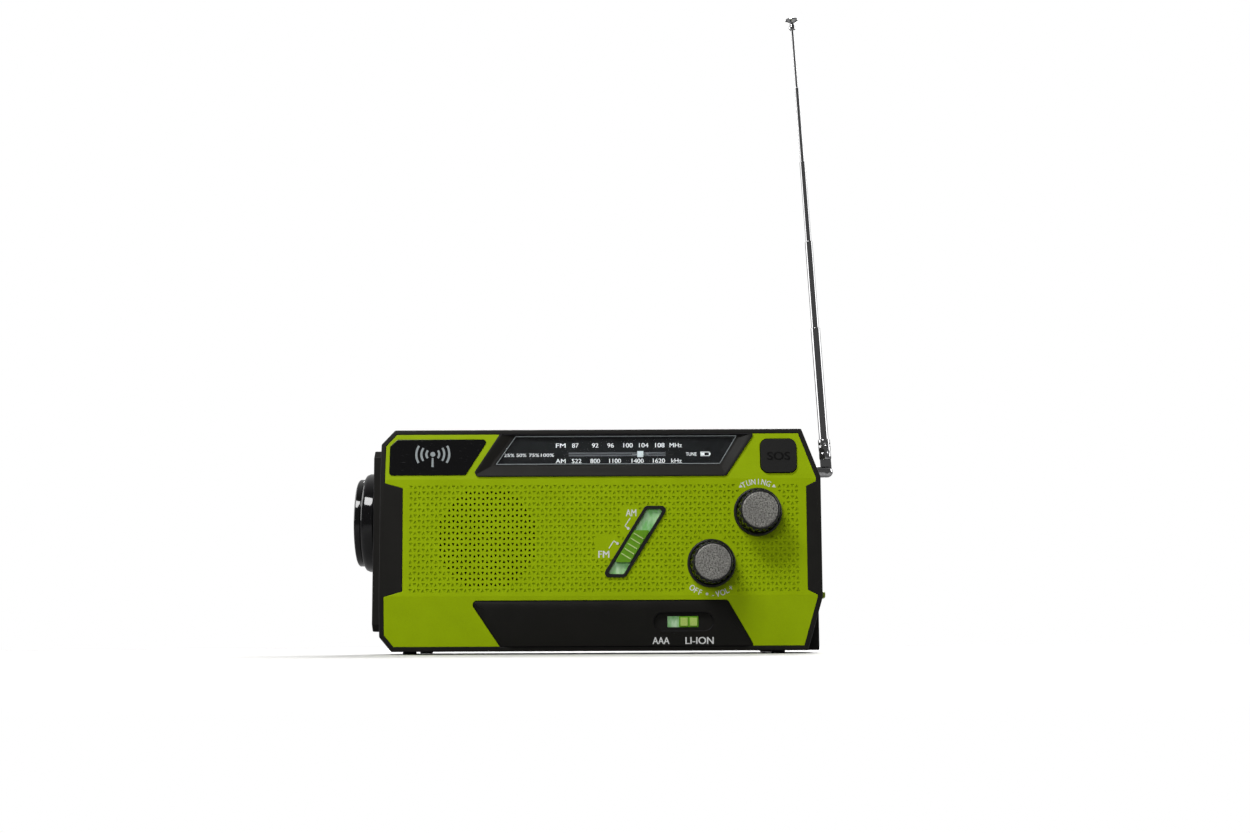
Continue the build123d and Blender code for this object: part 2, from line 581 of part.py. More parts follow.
def crank_arm():
    inner, outer = HINGE_X - 3.6, HINGE_X - 0.2
    neck = block((inner, outer), (CRANK_Y - 3.8, CRANK_Y + 3.8), (CRANK_Z - 10, CRANK_Z))
    blade = block((inner, outer), (CRANK_Y - 6, CRANK_Y + 6), (CRANK_Z - ARM_REACH - 1, CRANK_Z - 6.8))
    lip_z = (CRANK_Z - ARM_REACH - 1, CRANK_Z - ARM_REACH + 2.6)
    lip = block((outer - 1, outer + 4.3), (CRANK_Y - 4.5, CRANK_Y + 4.5), lip_z)
    barrel = rod("Y", (HINGE_X, CRANK_Z), 2.3, CRANK_Y - 3.8, CRANK_Y + 3.8)
    arm = (neck + blade + lip) & rod("X", (CRANK_Y, CRANK_Z), ARM_REACH, 70, 100)
    arm += barrel
    stud = (CRANK_Y, CRANK_Z - KNOB_REACH)
    arm += rod("X", stud, STUD_RADIUS, HINGE_X - 8.5, inner + 1)
    arm += rod("X", stud, STUD_RADIUS + 1, HINGE_X - 8.7, HINGE_X - 8.0)
    return arm - rod("Y", (HINGE_X, CRANK_Z), CRANK_PIN_RADIUS + FIT, 0, 20)


def crank_knob():
    inner, outer = HINGE_X - 3.7, HINGE_X - 8.9
    place = (CRANK_Y, CRANK_Z - KNOB_REACH)
    body = turned("X", place, [
        (outer, 0), (outer, 4.9), (outer + 0.6, 5.5), (inner - 0.6, 5.5), (inner, 4.9), (inner, 0),
    ])
    body -= rod("X", place, STUD_RADIUS + FIT, 70, 90)
    return body - rod("X", place, STUD_RADIUS + 1.2, outer - 1, outer + 1.0)


def crank_gear():
    wheel = gear(CRANK_TEETH, CRANK_MODULE, IDLER_DIRECTION, (CRANK_Y, CRANK_Z), 65.0, 68.5)
    for index in range(6):
        turn = radians(60 * index)
        wheel -= rod("X", (CRANK_Y + 11.5 * cos(turn), CRANK_Z + 11.5 * sin(turn)), 4.0, 60, 70)
    return wheel - rod("X", (CRANK_Y, CRANK_Z), AXLE_RADIUS, 60, 70)


def idler_gear():
    place = (IDLER_Y, IDLER_Z)
    gap = 180 + 180 / IDLER_PINION_TEETH
    wheel = gear(IDLER_WHEEL_TEETH, ROTOR_MODULE, ROTOR_DIRECTION, place, 60.5, 63.5)
    wheel += gear(IDLER_PINION_TEETH, CRANK_MODULE, IDLER_DIRECTION + gap, place, 63.5, 69.2)
    return wheel - rod("X", place, 1.5 + FIT, 55, 75)


def antenna_post():
    place = (ANTENNA_Y, ANTENNA_Z)
    tip = ANTENNA_X + 0.4
    post = rod("X", place, POST_RADIUS, 74.0, tip) + rod("X", place, 4.0, 74.6, 76.2)
    post += Pos(tip, *place) * Sphere(POST_RADIUS)
    slot_y = (ANTENNA_Y - 0.75, ANTENNA_Y + 0.75)
    post -= block((ANTENNA_X - 2.6, 100), slot_y, (ANTENNA_Z - 5, ANTENNA_Z + 5))
    return post - rod("Y", (ANTENNA_X, ANTENNA_Z), 0.8, ANTENNA_Y - 5, ANTENNA_Y + 5)


def antenna_rivet():
    return rod("Y", (ANTENNA_X, ANTENNA_Z), 0.8, ANTENNA_Y - 2.1, ANTENNA_Y + 2.1)


def antenna_ferrule():
    blade = block((-2.2, 2.2), (-0.7, 0.7), (0, 6)) + rod("Y", (0, 0), 2.2, -0.7, 0.7)
    sleeve = turned("Z", (0, 0), [(5.1, 0), (5.1, 2.2), (5.4, 2.45), (13.0, 2.45), (13.5, 2.1), (13.5, 0)])
    ferrule = blade + sleeve - rod("Z", (0, 0), TUBE_RADII[0], 6.5, 14)
    return LEANING * (ferrule - rod("Y", (0, 0), 0.8 + FIT, -1, 1))


def antenna_section(index):
    """One telescopic tube. Each slides inside the one before, with a short overlap when pulled out."""
    radius = TUBE_RADII[index]
    bottom = 6.5 if index == 0 else JOINT_HEIGHTS[index] - TUBE_OVERLAP
    top = JOINT_HEIGHTS[index + 1]
    section = turned("Z", (0, 0), [
        (bottom, 0), (bottom, radius), (top - 0.2, radius), (top, radius - 0.15), (top, 0),
    ])
    bore = TUBE_RADII[index + 1] + FIT
    return LEANING * (section - rod("Z", (0, 0), bore, bottom - 1, top + 1))


def antenna_tip():
    start, top = JOINT_HEIGHTS[4] - TUBE_OVERLAP, JOINT_HEIGHTS[5]
    radius = TUBE_RADII[4]
    return LEANING * turned("Z", (0, 0), [
        (start, 0), (start, radius), (top, radius), (top + 0.4, 1.35), (top + 1.4, 1.45), (top + 2.4, 1.05),
        (top + 3.3, 1.3), (top + 4.3, 2.65), (top + 4.8, 2.55), (top + 5.3, 1.4), (top + 5.4, 0),
    ])


def board_switches():
    """The slide switches behind both sliders, and the push switch behind the call button."""
    band = block((4, 22), (BOARD_Y - 4.9, BOARD_Y), (33, 48))
    source = block((24, 38), (BOARD_Y - 8.9, BOARD_Y), (6.5, 15.0))
    x, z, switch_face = 66.9, 72.5, FRONT + 8.2
    push = block((x - 3, x + 3), (switch_face, switch_face + 3.5), (z - 3, z + 3))
    push += rod("Y", (x, z), 1.7, switch_face - 0.4, switch_face)
    push += block((60, 72), (switch_face + 3.5, switch_face + 5.1), (67, 79))
    return [band, source, push]


def knob_ring(x, z):
    front = FRONT - 2.0
    return turned("Y", (x, z), [
        (FRONT, 7.9), (FRONT, 9.0), (front + 0.4, 9.0), (front, 8.6), (front, 8.1), (front + 0.2, 7.9),
    ])


def control_surrounds():
    """Fixed rings around both knobs and the slanted frame of the band switch."""
    return [
        knob_ring(TUNING_X, TUNING_Z), knob_ring(VOLUME_X, VOLUME_Z),
        through(BAND_OUTER - BAND_INNER, FRONT - 0.9, FRONT),
    ]


def slot_strips():
    """Pale strips at the bottom of both slider slots, slit for the sliders' stems."""
    middle = -1.05
    shift = Pos(middle * cos(radians(BAND_LEAN)), middle * sin(radians(BAND_LEAN)))
    band = through(BAND_INNER - shift * outline(slanted(4.6, 0.9)), FRONT + 0.7, FRONT + 1.5)
    source_slit = outline(rectangle((29.7, 35.7), (SOURCE_Z - 0.7, SOURCE_Z + 0.7)))
    return [band, skin(SOURCE_SLOT, 1.1, 1.9) - skin(source_slit, -3, 5)]


def volume_shaft():
    return rod("Y", (VOLUME_X, VOLUME_Z), SHAFT_RADIUS, KNOB_FRONT + 4, BOARD_Y - 2)


def tuning_shaft():
    """Shaft with the drum that drives the pointer's cord."""
    rim = DRUM_RADIUS + 1.2
    drum = turned("Y", (TUNING_X, TUNING_Z), [
        (-31.5, 0), (-31.5, rim), (-30.7, rim), (-30.2, DRUM_RADIUS), (-28.8, DRUM_RADIUS), (-28.3, rim),
        (-27.5, rim), (-27.5, 0),
    ])
    return drum + rod("Y", (TUNING_X, TUNING_Z), SHAFT_RADIUS, KNOB_FRONT + 4, BOARD_Y - 2)


def tuning_capacitor():
    body = block((TUNING_X - 9, TUNING_X + 9), (BOARD_Y - 8, BOARD_Y), (TUNING_Z - 9, TUNING_Z + 9))
    return body - rod("Y", (TUNING_X, TUNING_Z), SHAFT_RADIUS + FIT, -30, BOARD_Y - 1.9)


def volume_pot():
    body = rod("Y", (VOLUME_X, VOLUME_Z), 8.0, BOARD_Y - 8, BOARD_Y)
    return body - rod("Y", (VOLUME_X, VOLUME_Z), SHAFT_RADIUS + FIT, -30, BOARD_Y - 1.9)


def speaker():
    """Basket, cone and magnet of the loudspeaker as one sealed unit."""
    front = FRONT + PANEL
    return turned("Y", (SPEAKER_X, SPEAKER_Z), [
        (front, GRILLE_RADIUS), (front, 19.8), (front + 2, 19.8), (front + 8, 10.5), (front + 9, 10.5),
        (front + 14, 9.5), (front + 14, 0), (front + 6.0, 0), (front + 6.4, 5.0), (front + 1.6, 17.2),
        (front + 1.4, GRILLE_RADIUS),
    ])


def port_sockets():
    """Charging and supply sockets on their small board."""
    front = REAR - 3.1
    board = block((9, 41), (16, front), (15.0, 16.6))
    large = block((13, 26.6), (22, front), (16.6, 23.2)) - block((13.6, 26.0), (24, front + 1), (17.2, 22.6))
    large += block((14.4, 25.2), (23, front - 1), (19.4, 21.2))
    small = block((30, 38), (28, front), (16.6, 19.8)) - block((30.5, 37.5), (29, front + 1), (17.1, 19.3))
    small += block((31.2, 36.8), (28.5, front - 1), (17.8, 18.4))
    return [board, large, small]


def hinge_pins():
    """Two stub pins of the solar lid and the pin of the socket cover."""
    left, right = LID_SPAN
    spans = ((left - 1.8, left + 5), (right - 5, right + 1.8))
    pins = [rod("X", LID_HINGE, LID_PIN_RADIUS, *span) for span in spans]
    return pins + [rod("Z", COVER_HINGE, COVER_PIN_RADIUS, *wider(COVER_Z, 1.5))]


def generator_rotor():
    """Magnet, shaft and pinion, turning as one."""
    place = (ROTOR_Y, ROTOR_Z)
    gap = 180 + 180 / ROTOR_TEETH
    rotor = rod("X", place, 9.4, 46, 54) + rod("X", place, 1.0, 43.2, 64.5)
    return rotor + gear(ROTOR_TEETH, ROTOR_MODULE, ROTOR_DIRECTION + gap, place, 60.0, 64.2)


def generator_housing():
    """Can of the generator on the plate that carries the gears, with the idler's fixed pin."""
    place = (ROTOR_Y, ROTOR_Z)
    can = rod("X", place, 11.0, 43, GEAR_PLATE_X) - rod("X", place, 10.0, 44, 55.8)
    plate = block((GEAR_PLATE_X, GEAR_PLATE_X + 1.5), (-10, 30), (10, 56))
    plate -= rod("X", (CRANK_Y, CRANK_Z), AXLE_RADIUS + FIT, 50, 60)
    housing = can + plate - rod("X", place, 1.0 + FIT, 40, 60)
    return housing + rod("X", (IDLER_Y, IDLER_Z), 1.5, GEAR_PLATE_X, CAP_X - 0.8)


def rubber_feet():
    return [rod("Z", place, 2.6, -FOOT_HEIGHT, 0) + rod("Z", place, 1.5, 0, 1.3) for place in FEET]


def case_screws():
    """Four long screws from the rear, and four short ones that hold the crank end cap from inside."""
    screws = []
    for x, z in SCREW_PLACES:
        recess = Pos(x, -8, z) * Box(3.2, 1.4, 0.6) + Pos(x, -8, z) * Box(0.6, 1.4, 3.2)
        screws.append(rod("Y", (x, z), 2.6, -10, -8) - recess + rod("Y", (x, z), 1.4, FRONT + 9, -10))
    for place in CAP_SCREWS:
        head = rod("X", place, 2.3, CAP_X - WALL - 1.6, CAP_X - WALL)
        screws.append(head + rod("X", place, 1.2, CAP_X - WALL, CAP_FACE - 4))
    return screws


PARTS = {
    "front_frame": front_frame,
    "front_panel": front_panel,
    "rear_shell": rear_shell,
    "light_end_cap": light_end_cap,
    "crank_end_cap": crank_end_cap,
    "rubber_feet": rubber_feet,
    "case_screws": case_screws,
    "badge_plate": badge_plate,
    "dial_bezel": dial_bezel,
    "dial_window": dial_window,
    "dial_scale": dial_scale,
    "dial_pointer": dial_pointer,
    "switch_trim": switch_trim,
    "sos_button": sos_button,
    "board_switches": board_switches,
    "control_surrounds": control_surrounds,
    "tuning_knob": lambda: knob(TUNING_X, TUNING_Z),
    "tuning_knob_cap": lambda: knob_cap(TUNING_X, TUNING_Z),
    "tuning_shaft": tuning_shaft,
    "tuning_capacitor": tuning_capacitor,
    "volume_knob": lambda: knob(VOLUME_X, VOLUME_Z),
    "volume_knob_cap": lambda: knob_cap(VOLUME_X, VOLUME_Z),
    "volume_shaft": volume_shaft,
    "volume_pot": volume_pot,
    "slot_strips": slot_strips,
    "band_slider": band_slider,
    "source_slider": source_slider,
    "main_board": main_board,
    "ferrite_rod": ferrite_rod,
    "speaker": speaker,
    "torch_body": torch_body,
    "torch_bezel": torch_bezel,
    "torch_lens": torch_lens,
    "torch_reflector": torch_reflector,
    "torch_led_board": torch_led_board,
    "aaa_cells": aaa_cells,
    "battery_door": battery_door,
    "lithium_cell": lithium_cell,
    "port_sockets": port_sockets,
    "port_cover": port_cover,
    "hinge_pins": hinge_pins,
    "solar_lid": solar_lid,
    "solar_cell": solar_cell,
    "reading_lamp_lens": reading_lamp_lens,
    "crank_hub": crank_hub,
    "crank_hinge_pin": crank_hinge_pin,
    "crank_arm": crank_arm,
    "crank_knob": crank_knob,
    "crank_gear": crank_gear,
    "idler_gear": idler_gear,
    "generator_rotor": generator_rotor,
    "generator_housing": generator_housing,
    "antenna_post": antenna_post,
    "antenna_rivet": antenna_rivet,
    "antenna_ferrule": antenna_ferrule,
    "antenna_tube_1": lambda: antenna_section(0),
    "antenna_tube_2": lambda: antenna_section(1),
    "antenna_tube_3": lambda: antenna_section(2),
    "antenna_tube_4": lambda: antenna_section(3),
    "antenna_tip": antenna_tip,
}


def main():
    os.makedirs("parts", exist_ok=True)
    for name, build in PARTS.items():
        save(name, build())


main()
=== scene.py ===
import json
from collections import deque
from math import atan2, cos, exp, hypot, pi, radians, sin

import bmesh
import bpy
from mathutils import Matrix, Vector
from mathutils.bvhtree import BVHTree
from mathutils.geometry import delaunay_2d_cdt


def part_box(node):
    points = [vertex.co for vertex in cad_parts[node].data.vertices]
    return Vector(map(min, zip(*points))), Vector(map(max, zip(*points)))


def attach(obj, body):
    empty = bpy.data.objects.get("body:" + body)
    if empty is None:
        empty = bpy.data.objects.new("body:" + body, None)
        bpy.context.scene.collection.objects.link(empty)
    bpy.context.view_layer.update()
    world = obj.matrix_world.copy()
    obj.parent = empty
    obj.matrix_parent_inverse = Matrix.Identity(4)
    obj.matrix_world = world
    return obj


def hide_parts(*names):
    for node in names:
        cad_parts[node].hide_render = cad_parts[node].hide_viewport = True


# The looks of a hand-crank emergency radio around its CAD frame. Lengths are in metres.
# The radio faces -Y. Heights in the label tables are counted from the underside of the case.

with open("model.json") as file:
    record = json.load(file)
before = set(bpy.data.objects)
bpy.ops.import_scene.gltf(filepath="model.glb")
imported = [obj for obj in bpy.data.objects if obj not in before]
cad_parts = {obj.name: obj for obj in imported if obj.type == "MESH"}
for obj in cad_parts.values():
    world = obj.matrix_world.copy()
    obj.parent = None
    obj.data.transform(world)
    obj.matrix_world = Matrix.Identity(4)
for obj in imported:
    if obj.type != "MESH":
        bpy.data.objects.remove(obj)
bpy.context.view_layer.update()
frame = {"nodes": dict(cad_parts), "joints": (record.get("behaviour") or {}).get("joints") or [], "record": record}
nodes = frame["nodes"]
node_slots = {part["node"]: part["material_slot"] for part in frame["record"]["subparts"]}

MM = 0.001
CASE_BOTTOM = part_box("front_frame")[0].z
CAPITAL = 0.729                   # height of a capital letter in the built-in font, per unit of text size
BOLDER = 0.022                    # sideways shift of the two copies that thicken each letter
PRINT = 0.04 * MM                 # thickness of printed ink
RELIEF = 0.12 * MM                # height of raised signs
SHARP = radians(38)               # edges that turn more are rounded and shaded as edges
CREASE = radians(6), radians(12)  # level edges that turn between these are the front's creases
FLAT = radians(0.4)               # faces that turn less against each other are merged
ALONG_AXIS = 0.9999               # a unit vector's part along an axis, if it runs along that axis
SAME_POINT = 0.002 * MM
SAME_DEPTH = 0.01 * MM
RIGHT = Vector((1, 0, 0))


def middle(node):
    low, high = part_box(node)
    return (low + high) / 2


# ---------------------------------------------------------------- materials

class Finish:
    """A node material around one Principled shader, textured in the object's own coordinates."""

    def __init__(self, name, colour, roughness, **inputs):
        self.material = bpy.data.materials.new(name)
        self.material.use_nodes = True
        self.tree = self.material.node_tree
        self.shader = self.tree.nodes["Principled BSDF"]
        self.place = self.node("TexCoord").outputs["Object"]
        self.set("Base Color", (*colour, 1))
        self.set("Roughness", roughness)
        for key, value in inputs.items():
            self.set(key.replace("_", " "), value)

    def node(self, kind, inputs=None, **settings):
        made = self.tree.nodes.new("ShaderNode" + kind)
        for key, value in settings.items():
            setattr(made, key, value)
        for key, value in (inputs or {}).items():
            self.feed(made.inputs[key], value)
        return made

    def feed(self, socket, value):
        if isinstance(value, bpy.types.NodeSocket):
            self.tree.links.new(value, socket)
        else:
            socket.default_value = value

    def set(self, key, value):
        self.feed(self.shader.inputs[key], value)

    def stretched(self, stretch):
        return self.node("Mapping", {"Vector": self.place, "Scale": stretch}).outputs["Vector"]

    def noise(self, size, detail=2.0, stretch=(1, 1, 1)):
        """Noise from 0 to 1 with features about one size across, finer along larger stretch values."""
        inputs = {"Vector": self.stretched(stretch), "Scale": 1 / size, "Detail": detail}
        return self.node("TexNoise", inputs).outputs[0]

    def spread(self, factor, from_low, from_high, low, high):
        """Maps the factor's range to the range from low to high, and holds it there."""
        limits = {"From Min": from_low, "From Max": from_high, "To Min": low, "To Max": high}
        return self.node("MapRange", {"Value": factor, **limits}).outputs["Result"]

    def math(self, operation, first, second):
        return self.node("Math", {0: first, 1: second}, operation=operation).outputs[0]

    def blend(self, factor, first, second):
        made = self.node("Mix", data_type="RGBA")
        for socket, value in zip((made.inputs[0], made.inputs[6], made.inputs[7]), (factor, first, second)):
            whole = isinstance(value, (float, int, bpy.types.NodeSocket))
            self.feed(socket, value if whole else (*value, 1))
        return made.outputs[2]

    def bump(self, height, depth, strength=1.0):
        inputs = {"Height": height, "Distance": depth, "Strength": strength}
        made = self.node("Bump", inputs)
        if self.shader.inputs["Normal"].links:
            self.feed(made.inputs["Normal"], self.shader.inputs["Normal"].links[0].from_socket)
        self.set("Normal", made.outputs["Normal"])

    def lets_light_through(self, colour):
        """Shadow rays pass straight through, so that the parts behind a clear moulding stay lit."""
        shadow = self.node("LightPath").outputs["Is Shadow Ray"]
        passing = self.node("BsdfTransparent", {"Color": (*colour, 1)}).outputs[0]
        mixed = self.node("MixShader", {0: shadow, 1: self.shader.outputs[0], 2: passing}).outputs[0]
        self.feed(self.tree.nodes["Material Output"].inputs["Surface"], mixed)

    def edges(self, radius):
        """1 along sharp outer and inner edges, 0 on open faces."""
        rounded = self.node("Bevel", {"Radius": radius}, samples=4).outputs["Normal"]
        normal = self.node("NewGeometry").outputs["Normal"]
        along = self.node("VectorMath", {0: rounded, 1: normal}, operation="DOT_PRODUCT")
        return self.spread(along.outputs["Value"], 0.8, 0.99, 1.0, 0.0)


def shade(colour, factor):
    return tuple(min(1.0, part * factor) for part in colour)


def moulded(name, colour, roughness, grain=0.35, depth=0.012, mottle=0.1, wear=0.0, **inputs):
    """Moulded plastic or rubber: spark-eroded grain, faint mottling and paler handled edges."""
    finish = Finish(name, colour, roughness, **inputs)
    cloud_and_sheen = finish.noise(9 * MM, 3)
    patches = finish.spread(cloud_and_sheen, 0.3, 0.7, 0, 1)
    tone = finish.blend(patches, shade(colour, 1 - mottle), shade(colour, 1 + mottle))
    grit = finish.noise(grain * MM, 3)
    tone = finish.blend(finish.spread(grit, 0.35, 0.7, 0, 0.5), tone, shade(colour, 1 + 2.5 * mottle))
    if wear:
        uneven = finish.spread(finish.noise(2.2 * MM, 4), 0.35, 0.65, 0.2 * wear, wear)
        worn = finish.math("MULTIPLY", finish.edges(0.45 * MM), uneven)
        tone = finish.blend(worn, tone, shade((*colour[:2], colour[2] + 0.01), 2.2))
    finish.set("Base Color", tone)
    finish.set("Roughness", finish.spread(cloud_and_sheen, 0.2, 0.8, roughness - 0.06, roughness + 0.08))
    finish.bump(grit, depth * MM)
    return finish


def glossy(name, colour, roughness=0.07, dust=0.5):
    """Polished black plastic with hairline scratches and a little dust."""
    finish = Finish(name, colour, roughness, Coat_Weight=0.4, Coat_Roughness=0.03)
    level = finish.spread(finish.noise(5 * MM, 5, (1.2, 1, 14)), 0.66, 0.72, 0, 1)
    upright = finish.spread(finish.noise(4 * MM, 5, (11, 1, 1.5)), 0.68, 0.74, 0, 1)
    scratches = finish.math("MAXIMUM", level, upright)
    finish.set("Roughness", finish.spread(scratches, 0, 1, roughness, roughness + 0.28))
    speck = finish.spread(finish.noise(0.5 * MM, 1), 0.76, 0.82, 0, dust)
    finish.set("Base Color", finish.blend(speck, colour, (0.35, 0.35, 0.34)))
    finish.bump(finish.noise(14 * MM, 2), 0.02 * MM)
    return finish


def metal(name, colour, roughness, brush=(1, 1, 1), depth=0.002):
    """Bare metal with drawn or machined marks along one direction."""
    finish = Finish(name, colour, roughness, Metallic=1.0)
    marks = finish.noise(0.6 * MM, 4, brush)
    haze = finish.noise(8 * MM, 3)
    finish.set("Roughness", finish.spread(haze, 0.3, 0.7, roughness * 0.8, roughness * 1.5))
    finish.set("Base Color", finish.blend(marks, shade(colour, 0.86), shade(colour, 1.08)))
    finish.bump(marks, depth * MM)
    return finish


def chrome_plate(name, colour):
    """Chrome with a painted reflection: its colour is painted dark towards its outline, like a mirror in a room
    with one bright side.
    """
    finish = Finish(name, colour, 0.07, Metallic=1.0)
    facing = finish.node("LayerWeight", {"Blend": 0.5}).outputs["Facing"]
    # painted reflection: the base colour turns nearly black towards the outline
    outline = finish.spread(facing, 0.15, 0.6, 0, 1)
    finish.set("Base Color", finish.blend(outline, colour, shade(colour, 0.05)))
    finish.set("Roughness", finish.spread(finish.noise(8 * MM, 3), 0.3, 0.7, 0.05, 0.12))
    return finish


def speckled_cap(name, colour):
    """Blasted metal disc: coarse bright and dark grains."""
    finish = Finish(name, colour, 0.42, Metallic=0.4)
    grain = finish.noise(0.55 * MM, 6)
    patch = finish.noise(3.5 * MM, 3)
    tone = finish.blend(finish.spread(grain, 0.36, 0.64, 0, 1), shade(colour, 0.28), shade(colour, 1.45))
    tone = finish.blend(finish.spread(patch, 0.35, 0.7, 0, 0.45), tone, shade(colour, 0.55))
    finish.set("Base Color", tone)
    finish.set("Roughness", finish.spread(grain, 0.3, 0.7, 0.32, 0.6))
    finish.bump(grain, 0.09 * MM)
    return finish


def painted_sheen_strip(name, colour):
    """Mint plastic strip with pale streaks painted as marbled highlights, seen at the bottom of the slider slots.
    """
    finish = Finish(name, colour, 0.25, Coat_Weight=0.5)
    streak = finish.noise(4 * MM, 5, (1.6, 1, 0.7))
    cloud_and_sheen = finish.spread(streak, 0.42, 0.66, 0, 1)
    # painted highlight: pale streaks over the mint colour
    finish.set("Base Color", finish.blend(cloud_and_sheen, shade(colour, 0.8), (0.72, 1.0, 0.66)))
    finish.bump(streak, 0.08 * MM)
    return finish


def solar_glass(name, colour):
    """Dark blue cells with a crystalline cast and fine printed fingers, under clear resin."""
    finish = Finish(name, colour, 0.35, Coat_Weight=0.35, Coat_Roughness=0.25)
    crystals = finish.node("TexVoronoi", {"Vector": finish.place, "Scale": 160.0}).outputs["Color"]
    tone = finish.blend(0.12, colour, crystals)
    tone = finish.blend(0.8, tone, shade(colour, 1.6))
    comb = finish.node("TexWave", {"Vector": finish.place, "Scale": 1 / (7.5 * MM)}, bands_direction="X")
    finger = finish.spread(comb.outputs["Fac"], 0.93, 0.97, 0, 0.55)
    finish.set("Base Color", finish.blend(finger, tone, (0.32, 0.34, 0.38)))
    finish.bump(finish.noise(20 * MM, 2), 0.03 * MM)
    return finish


def circuit_board(name, colour):
    """Green laminate with copper tracks under the solder mask."""
    finish = Finish(name, colour, 0.35, Coat_Weight=0.3)
    grid = {"Vector": finish.place, "Scale": 90.0, "Mortar Size": 0.03}
    tracks = finish.node("TexBrick", grid).outputs["Fac"]
    finish.set("Base Color", finish.blend(tracks, colour, shade(colour, 2.4)))
    finish.bump(tracks, 0.03 * MM)
    return finish


def clear(name, colour, roughness=0.02, cell_depth=0.0):
    """Clear or frosted moulding, with small moulded cells if their depth is given."""
    finish = Finish(name, colour, roughness, Transmission_Weight=1.0, IOR=1.46, Specular_IOR_Level=0.25)
    finish.lets_light_through(colour)
    if cell_depth:
        cells = finish.node("TexVoronoi", {"Vector": finish.place, "Scale": 1 / (1.6 * MM)})
        finish.bump(cells.outputs["Distance"], cell_depth * MM)
    haze = finish.noise(6 * MM, 3)
    finish.set("Roughness", finish.spread(haze, 0.3, 0.7, roughness * 0.6, roughness * 1.6))
    return finish


def printed(name, colour):
    """Screen-printed ink with slightly uneven cover."""
    finish = Finish(name, colour, 0.5)
    cover = finish.noise(0.5 * MM, 3)
    thickness = finish.spread(cover, 0.3, 0.7, 0, 1)
    finish.set("Base Color", finish.blend(thickness, shade(colour, 0.82), colour))
    finish.bump(cover, 0.01 * MM)
    return finish


LIME = (0.385, 0.545, 0.002)
finishes = {
    "black_case": moulded("black_case", (0.0135, 0.0128, 0.0112), 0.54, wear=0.6, Specular_IOR_Level=0.28),
    "green_panel": moulded("green_panel", LIME, 0.42, grain=0.5, depth=0.006, mottle=0.05, wear=0.1,
                           Specular_IOR_Level=0.15),
    "black_gloss": glossy("black_gloss", (0.006, 0.006, 0.0065)),
    "dial_print": moulded("dial_print", (0.006, 0.0065, 0.007), 0.6, mottle=0.2, Specular_IOR_Level=0.1),
    "pointer_grey": moulded("pointer_grey", (0.55, 0.6, 0.6), 0.35),
    "mint_strip": painted_sheen_strip("mint_strip", (0.34, 0.86, 0.28)),
    "lime_slider": moulded("lime_slider", (0.16, 0.42, 0.012), 0.3, grain=0.8, depth=0.006, wear=0.5),
    "knob_black": moulded("knob_black", (0.014, 0.014, 0.014), 0.36, wear=0.5),
    "silver_cap": speckled_cap("silver_cap", (0.42, 0.41, 0.38)),
    "black_rubber": moulded("black_rubber", (0.0135, 0.0135, 0.013), 0.62, grain=0.5, depth=0.02,
                            mottle=0.15, wear=0.4, Specular_IOR_Level=0.35),
    "steel": metal("steel", (0.55, 0.55, 0.56), 0.3, (1, 12, 12)),
    "chrome": chrome_plate("chrome", (0.88, 0.88, 0.89)),
    "clear_lens": clear("clear_lens", (0.95, 0.97, 0.98)),
    "mirror_bowl": metal("mirror_bowl", (0.93, 0.93, 0.94), 0.05, depth=0.0008),
    "led_board": moulded("led_board", (0.8, 0.79, 0.7), 0.4),
    "circuit_board": circuit_board("circuit_board", (0.02, 0.16, 0.06)),
    "component_black": moulded("component_black", (0.03, 0.03, 0.034), 0.45),
    "ferrite": moulded("ferrite", (0.055, 0.055, 0.06), 0.4, depth=0.03, mottle=0.25),
    "speaker_paper": moulded("speaker_paper", (0.012, 0.012, 0.012), 0.85, grain=0.9, depth=0.06,
                             mottle=0.3),
    "cell_wrap": moulded("cell_wrap", (0.1, 0.12, 0.3), 0.25, depth=0.004),
    "cell_blue": moulded("cell_blue", (0.02, 0.12, 0.35), 0.25, depth=0.004),
    "solar_glass": solar_glass("solar_glass", (0.008, 0.012, 0.045)),
    "lamp_lens": clear("lamp_lens", (0.93, 0.94, 0.92), 0.3, 0.3),
    "nylon_gear": moulded("nylon_gear", (0.78, 0.75, 0.66), 0.4, depth=0.006),
    "crank_green": moulded("crank_green", LIME, 0.45, mottle=0.06, wear=0.4),
}
white_ink = printed("white_ink", (0.97, 0.98, 0.97))
silver_ink = printed("silver_ink", (0.42, 0.47, 0.48))
grey_ink = printed("grey_ink", (0.085, 0.09, 0.097))
pale_lime = moulded("pale_lime", (0.62, 0.78, 0.3), 0.35)
bright_lime = moulded("bright_lime", (0.52, 0.72, 0.16), 0.35, mottle=0.15)
# dimples: the panel green painted darker, as painted shade in their hollows
painted_shade_dimple_green = moulded("painted_shade_dimple_green", shade(LIME, 0.82), 0.6, mottle=0.05, Specular_IOR_Level=0.15)
# grille hole walls: the panel green painted nearly black, as painted shade in the holes
painted_shade_hole_green = moulded("painted_shade_hole_green", shade(LIME, 0.1), 0.7, mottle=0.05, Specular_IOR_Level=0.1)
trim_black = moulded("trim_black", (0.0085, 0.008, 0.0065), 0.45, wear=0.5, Specular_IOR_Level=0.35)
dark_green = moulded("dark_green", (0.15, 0.37, 0.015), 0.3, grain=0.8, depth=0.006, wear=0.4)
relief_black = moulded("relief_black", (0.004, 0.004, 0.004), 0.5, Specular_IOR_Level=0.2)
phosphor = moulded("phosphor", (0.9, 0.72, 0.12), 0.4)
lamp_die = moulded("lamp_die", (0.9, 0.85, 0.55), 0.35)
node_finishes = {"switch_trim": trim_black, "band_slider": dark_green}


# ---------------------------------------------------------------- shared mesh work

